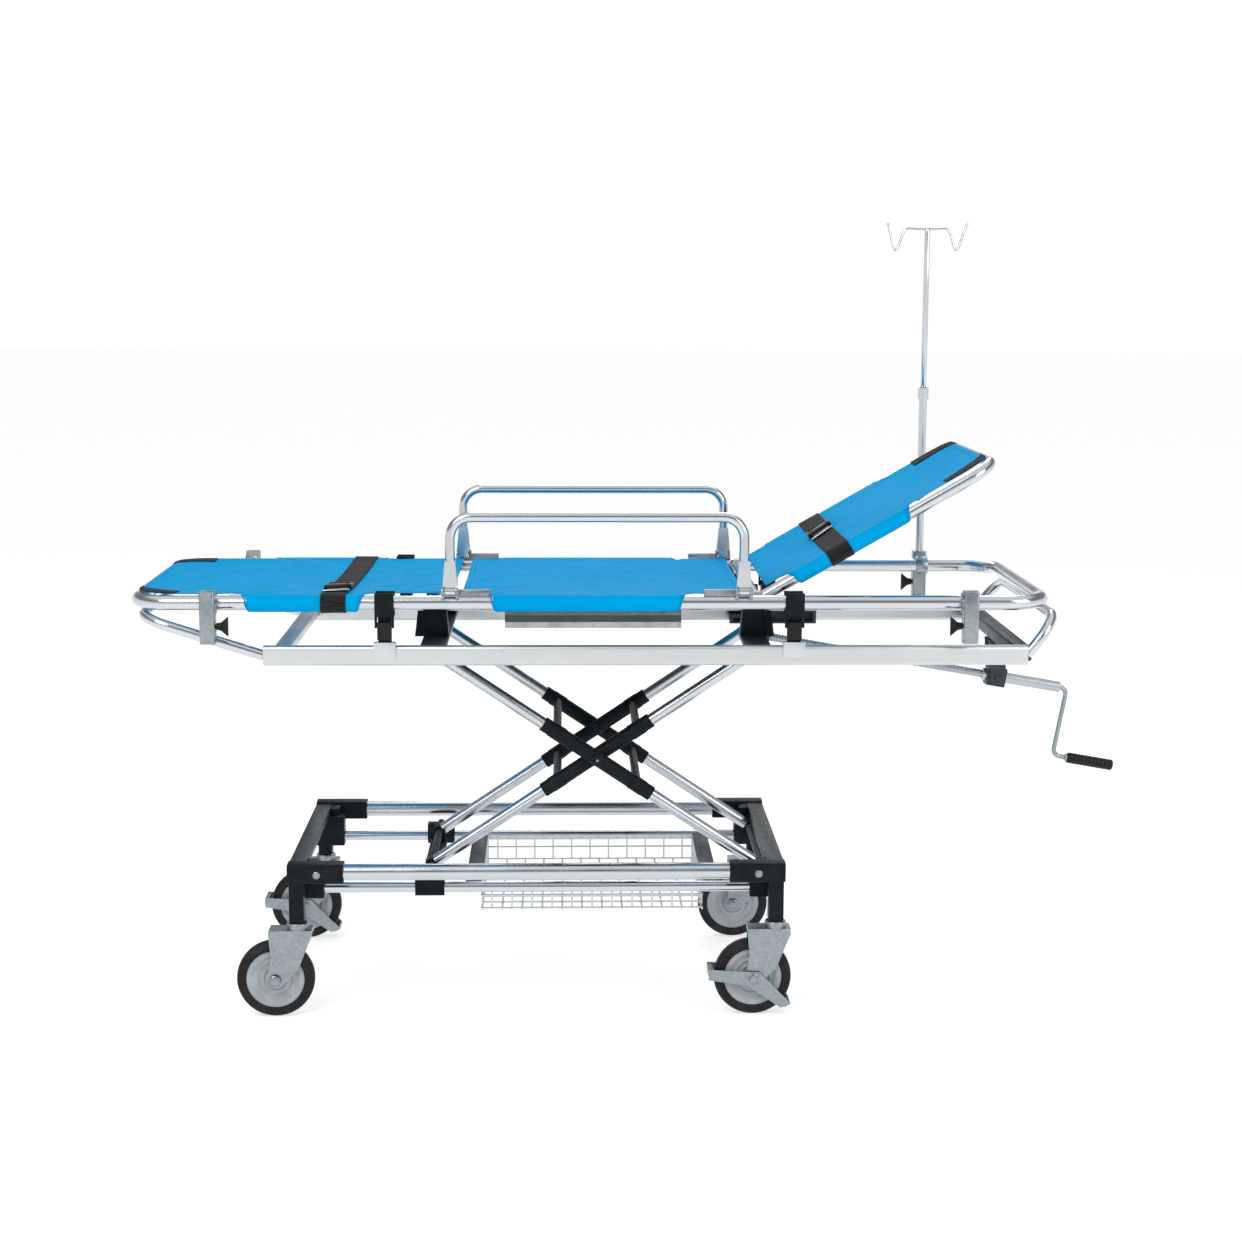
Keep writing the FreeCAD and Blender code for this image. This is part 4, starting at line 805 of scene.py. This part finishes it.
def buckle(name, surface, across, body, button_material):
    """A moulded belt buckle with a press button and a plated tongue, lying on its strap."""
    place = surface(0, across, STRAP / 2)
    ahead = (surface(0.01, across, 0) - surface(-0.01, across, 0)).normalized()
    upward = ahead.cross((surface(0, across + 0.01, 0) - surface(0, across - 0.01, 0))).normalized()
    aside = upward.cross(ahead)
    turn = Matrix((ahead, aside, upward)).transposed().to_4x4()

    def block(part, size, shift, bevel):
        spot = place + turn.to_3x3() @ Vector(shift)
        return soft_block(f"{name}_{part}", size, spot, turn, bevel)

    shell = join(name + "_shell", [block("body", (0.056, 0.052, 0.009), (0, 0.012, 0.0050), 0.003),
                                   block("lip", (0.056, 0.010, 0.012), (0, -0.012, 0.0064), 0.003),
                                   block("step", (0.044, 0.006, 0.011), (0, 0.034, 0.0060), 0.002)])
    finish_piece(shell, body, MATERIALS["black_plastic"])
    button = block("button", (0.030, 0.018, 0.003), (0, 0.004, 0.0100), 0.0012)
    finish_piece(button, body, button_material)
    tongue = join(name + "_tongue", [block("plate", (0.040, 0.030, 0.0025), (0, -0.030, 0.0046), 0.001),
                                     block("bar", (0.054, 0.006, 0.004), (0, -0.046, 0.0050), 0.0018)])
    finish_piece(tongue, body, MATERIALS["steel_rod"])


def straps():
    """The leg strap and the chest strap, with their buckles."""
    red = moulded("buckle_red", (0.16, 0.012, 0.008), 0.38, 1500, 0.06)
    grey = moulded("buckle_grey", (0.10, 0.12, 0.13), 0.38, 1500, 0.06)
    over_legs = strap("leg_strap", LEG_COVER, -0.611, math.radians(1.5), "stretcher")
    over_chest = strap("chest_strap", BACK_COVER, 0.192, 0, "backrest")
    buckle("leg_buckle", over_legs, -0.205, "stretcher", red)
    buckle("chest_buckle", over_chest, 0.03, "backrest", grey)


# ---- wheels, bolts, crank, hooks and pan ------------------------------------------------------------

def mirrored(profile):
    """An outline given for the low side, closed over the high side."""
    return profile + [(radius, -along) for radius, along in reversed(profile)]


# Each point of a wheel's outlines is its radius and its distance from the wheel's middle plane.
TYRE = mirrored([(0.0601, -0.0146), (0.0655, -0.0150), (0.0664, -0.0144), (0.0673, -0.0150),
                 (0.0730, -0.0149), (0.0762, -0.0138), (0.0784, -0.0112), (0.0796, -0.0070),
                 (0.0800, -0.0022)])
HUB = mirrored([(0.0072, -0.0170), (0.0132, -0.0170), (0.0148, -0.0160), (0.0160, -0.0092),
                (0.0236, -0.0080), (0.0242, -0.0092), (0.0256, -0.0092), (0.0262, -0.0079),
                (0.0350, -0.0072), (0.0356, -0.0084), (0.0370, -0.0084), (0.0376, -0.0071),
                (0.0436, -0.0072), (0.0496, -0.0116), (0.0530, -0.0126), (0.0566, -0.0121),
                (0.0576, -0.0133), (0.0598, -0.0131)])
FORK_HALF = 0.0276      # from a wheel's middle plane to the outside of its fork


def hex_head(name, place, axis, size, height):
    """A hexagon bolt head with a chamfered top, on a washer."""
    head = turn_profile(name, [(0.0004, 0), (size, 0), (size, 0.78 * height), (0.86 * size, height),
                               (0.0004, 1.02 * height)], place, axis, 6)
    for polygon in head.data.polygons:
        polygon.use_smooth = False
    washer = turn_profile(name + "_washer", [(0.0004, -0.0004), (1.22 * size, -0.0004), (1.26 * size, 0),
                                             (1.22 * size, 0.0009), (0.0004, 0.0009)], place, axis, 32)
    return join(name, [head, washer])


def wheels():
    """Tyres with worn shoulders, ribbed hubs, and the nuts on both ends of each axle."""
    for tag in CORNERS:
        body = f"wheel_{tag}"
        place = Vector(joints[f"wheel_{tag}_roll"]["pos_m"])
        tyre = turn_profile(f"tyre_{tag}", TYRE, place, (0, 1, 0), 96)
        finish_piece(tyre, body, MATERIALS["black_rubber"], (f"castor_tyre_{tag}",))
        hub = turn_profile(f"hub_{tag}", HUB, place, (0, 1, 0), 96)
        finish_piece(hub, body, MATERIALS["hub_plastic"], (f"castor_hub_{tag}",))
        nuts = [hex_head(f"axle_nut_{tag}_{side}", place + Vector((0, FORK_HALF * sign, 0)),
                         (0, sign, 0), 0.0096, 0.0056) for side, sign in SIDES]
        finish_piece(join(f"axle_nuts_{tag}", nuts), f"castor_{tag}", MATERIALS["zinc"])


def fasteners():
    """Bolt heads on the corner castings, and the caps on the arms' centre pivot."""
    heads = []
    low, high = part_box("corner_castings")
    bolt_z = 0.3015
    for side, sign in SIDES:
        for end, x in (("foot", low.x + 0.060), ("head", high.x - 0.055)):
            spot = (x, sign * high.y, bolt_z)
            heads.append(hex_head(f"bolt_{side}_{end}", spot, (0, sign, 0), 0.0062, 0.0036))
    finish_piece(join("casting_bolts", heads), "base", MATERIALS["zinc"])
    pivot = joints["arm_cross"]["pos_m"]
    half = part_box("arm_a_braces")[1].y
    caps = [turn_profile(f"pivot_cap_{side}", [(0.0004, -0.001), (0.0085, -0.001), (0.0088, 0.0006),
                                               (0.0070, 0.0030), (0.0035, 0.0040), (0.0004, 0.0042)],
                         (pivot[0], sign * half, pivot[2]), (0, sign, 0), 32) for side, sign in SIDES]
    finish_piece(join("pivot_caps", caps), "arm_a", MATERIALS["zinc"])


GRIP_HALF = 0.0505
GRIP_BORE = 0.0054
RIB_PITCH = 0.0085
RIB_RISE = 0.0006
THREAD_FROM = -0.550    # along the screw from the crank's joint
THREAD_TO = -0.032
THREAD_PITCH = 0.006
THREAD_STEPS = 22       # to a turn
# The ridge's cross-section: radius, and distance along the screw.
THREAD_RIDGE = ((0.0078, -0.0022), (0.0091, -0.0008), (0.0091, 0.0008), (0.0078, 0.0022))


def ribbed_grip():
    """The crank's moulded grip, with shallow ribs round it."""
    low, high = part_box("crank_grip")
    outline = [(0.0092, -GRIP_HALF), (0.0108, -GRIP_HALF + 0.001), (0.0118, -GRIP_HALF + 0.003)]
    steps = 80
    ribs_from = -GRIP_HALF + 0.004
    for step in range(steps + 1):
        along = ribs_from - 2 * ribs_from * step / steps
        rise = RIB_RISE * (0.5 + 0.5 * math.cos(2 * math.pi * along / RIB_PITCH))
        outline.append((0.0113 + rise, along))
    outline += [(0.0118, GRIP_HALF - 0.003), (0.0108, GRIP_HALF - 0.001), (0.0092, GRIP_HALF),
                (GRIP_BORE, GRIP_HALF), (GRIP_BORE, -GRIP_HALF)]
    grip = turn_profile("ribbed_grip", outline, (low + high) / 2, joints["grip_spin"]["axis"], 48)
    finish_piece(grip, "crank_grip", MATERIALS["black_plastic"], ("crank_grip",))


def screw_thread():
    """The ridge that winds along the lifting screw, closed at both ends."""
    origin = Vector(joints["crank_turn"]["pos_m"])
    turn = Vector((0, 0, 1)).rotation_difference(Vector(joints["grip_spin"]["axis"])).to_matrix()
    count = int((THREAD_TO - THREAD_FROM) / THREAD_PITCH * THREAD_STEPS)
    points = []
    for step in range(count + 1):
        angle = 2 * math.pi * step / THREAD_STEPS
        along = THREAD_FROM + THREAD_PITCH * step / THREAD_STEPS
        for radius, shift in THREAD_RIDGE:
            spot = Vector((radius * math.cos(angle), radius * math.sin(angle), along + shift))
            points.append(origin + turn @ spot)
    sides = len(THREAD_RIDGE)
    caps = [tuple(reversed(range(sides))), tuple(sides * count + corner for corner in range(sides))]
    faces = grid_faces(count + 1, sides, wrap_columns=True) + caps
    thread = mesh_piece("screw_thread", points, faces)
    finish_piece(thread, "crank", MATERIALS["steel_rod"])


def smooth_path(corners):
    """Points of a smooth line through its corners."""
    steps = 10
    path = []
    spots = [corners[0]] + corners + [corners[-1]]
    for before, first, last, after in zip(spots, spots[1:], spots[2:], spots[3:]):
        leaving = 0.5 * (last - before)
        arriving = 0.5 * (after - first)
        cubic = 2 * first - 2 * last + leaving + arriving
        square = -3 * first + 3 * last - 2 * leaving - arriving
        for step in range(steps):
            share = step / steps
            path.append(((cubic * share + square) * share + leaving) * share + first)
    return path + [corners[-1]]


# Millimetres along the wire's crossbar and above it, from the rod's axis.
HOOK_LINE = ((-88, 10), (-83, -12), (-76, -38), (-70.5, -46), (-64.5, -38), (-56, -14), (-49, -1),
             (-40, 1), (-20, 0), (0, 0), (20, 0), (38, 1), (45, -1), (52, -14), (60, -38), (65.5, -46),
             (71.5, -38), (80, -12), (88, 10))
HOOK_WIRE_R = 0.0028
TIP_RISE = 0.0125       # the CAD hooks' tips stand this far over the crossbar


def hook_rod():
    """The rod that slides in the drip pole, and its two bottle hooks bent from one wire."""
    low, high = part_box("pole_hooks")
    pole_low, pole_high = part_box("drip_pole")
    x = (pole_low.x + pole_high.x) / 2
    y = (low.y + high.y) / 2
    cross_z = high.z - TIP_RISE - HOOK_WIRE_R
    corners = [Vector((x + along / 1000, y, cross_z + rise / 1000)) for along, rise in HOOK_LINE]
    wire = tube_along("hook_wire", smooth_path(corners), HOOK_WIRE_R, sides=16)
    tips = [turn_profile(f"hook_tip_{end}", [(0.0002, -0.0035), (0.0022, -0.0030), (0.0034, -0.0010),
                                             (0.0034, 0.0012), (0.0022, 0.0030), (0.0002, 0.0034)],
                         corners[place], (0, 0, 1), 20) for end, place in (("foot", 0), ("head", -1))]
    top = cross_z - low.z
    rod = turn_profile("hook_rod", [(0.0002, 0), (0.0056, 0), (0.0065, 0.0010), (0.0065, top - 0.030),
                                    (0.0062, top - 0.028), (0.0062, top - 0.006), (0.0052, top - 0.001),
                                    (0.0040, top + 0.0028), (0.0002, top + 0.0042)],
                       (x, y, low.z), (0, 0, 1), 40)
    finish_piece(join("pole_hook_rod", [wire, *tips, rod]), "pole_hooks", MATERIALS["chrome_tube"],
                 ("pole_hooks",))


# The edging's cross-section: height as a share of half the strip's, and distance out from the wall.
EDGING = ((-1, 0.0), (-0.94, 0.0012), (-0.7, 0.0017), (0, 0.0018), (0.7, 0.0017), (0.94, 0.0012), (1, 0.0))
RIVET = [(0.0002, 0), (0.0024, 0), (0.0021, 0.0008), (0.0012, 0.0012), (0.0002, 0.0013)]
RIVETS = 5


def edging_strip(name, sign, centre, half):
    """One rounded strip along a wall of the pan, with its rivets."""
    low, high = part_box("seat_pan")
    length = high.x - low.x
    columns = 60
    points = []
    for rise, out in EDGING:
        for step in range(columns + 1):
            x = low.x + length * step / columns
            ripple = 0.0003 * noise.noise(Vector((25 * x, sign, centre * 40)))
            points.append((x, sign * (high.y + out + ripple), centre + rise * half))
    pieces = [mesh_piece(name, points, grid_faces(len(EDGING), columns + 1))]
    for step in range(RIVETS):
        x = low.x + length * (step + 0.5) / RIVETS
        pieces.append(turn_profile("rivet", RIVET, (x, sign * (high.y + 0.0017), centre), (0, sign, 0), 16))
    return pieces


def pan_edging():
    """Clip-on edging along the top and bottom of the pan's two walls."""
    low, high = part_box("seat_pan")
    brown = moulded("edging_brown", (0.16, 0.135, 0.12), 0.5, 1200, 0.12)
    grey = moulded("edging_grey", (0.30, 0.31, 0.31), 0.45, 1200, 0.12)
    for level, centre, half, material in (("top", high.z - 0.020, 0.0050, brown),
                                          ("bottom", low.z + 0.0055, 0.0062, grey)):
        strips = []
        for side, sign in SIDES:
            strips += edging_strip(f"edging_{level}_{side}", sign, centre, half)
        finish_piece(join(f"pan_edging_{level}", strips), "stretcher", material)


camera()
floor()
lights()
dress_frame()
covers()
straps()
wheels()
fasteners()
ribbed_grip()
screw_thread()
hook_rod()
pan_edging()

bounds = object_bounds()
str([[list(corner) for corner in pair] for pair in (cad_bounds, bounds)])
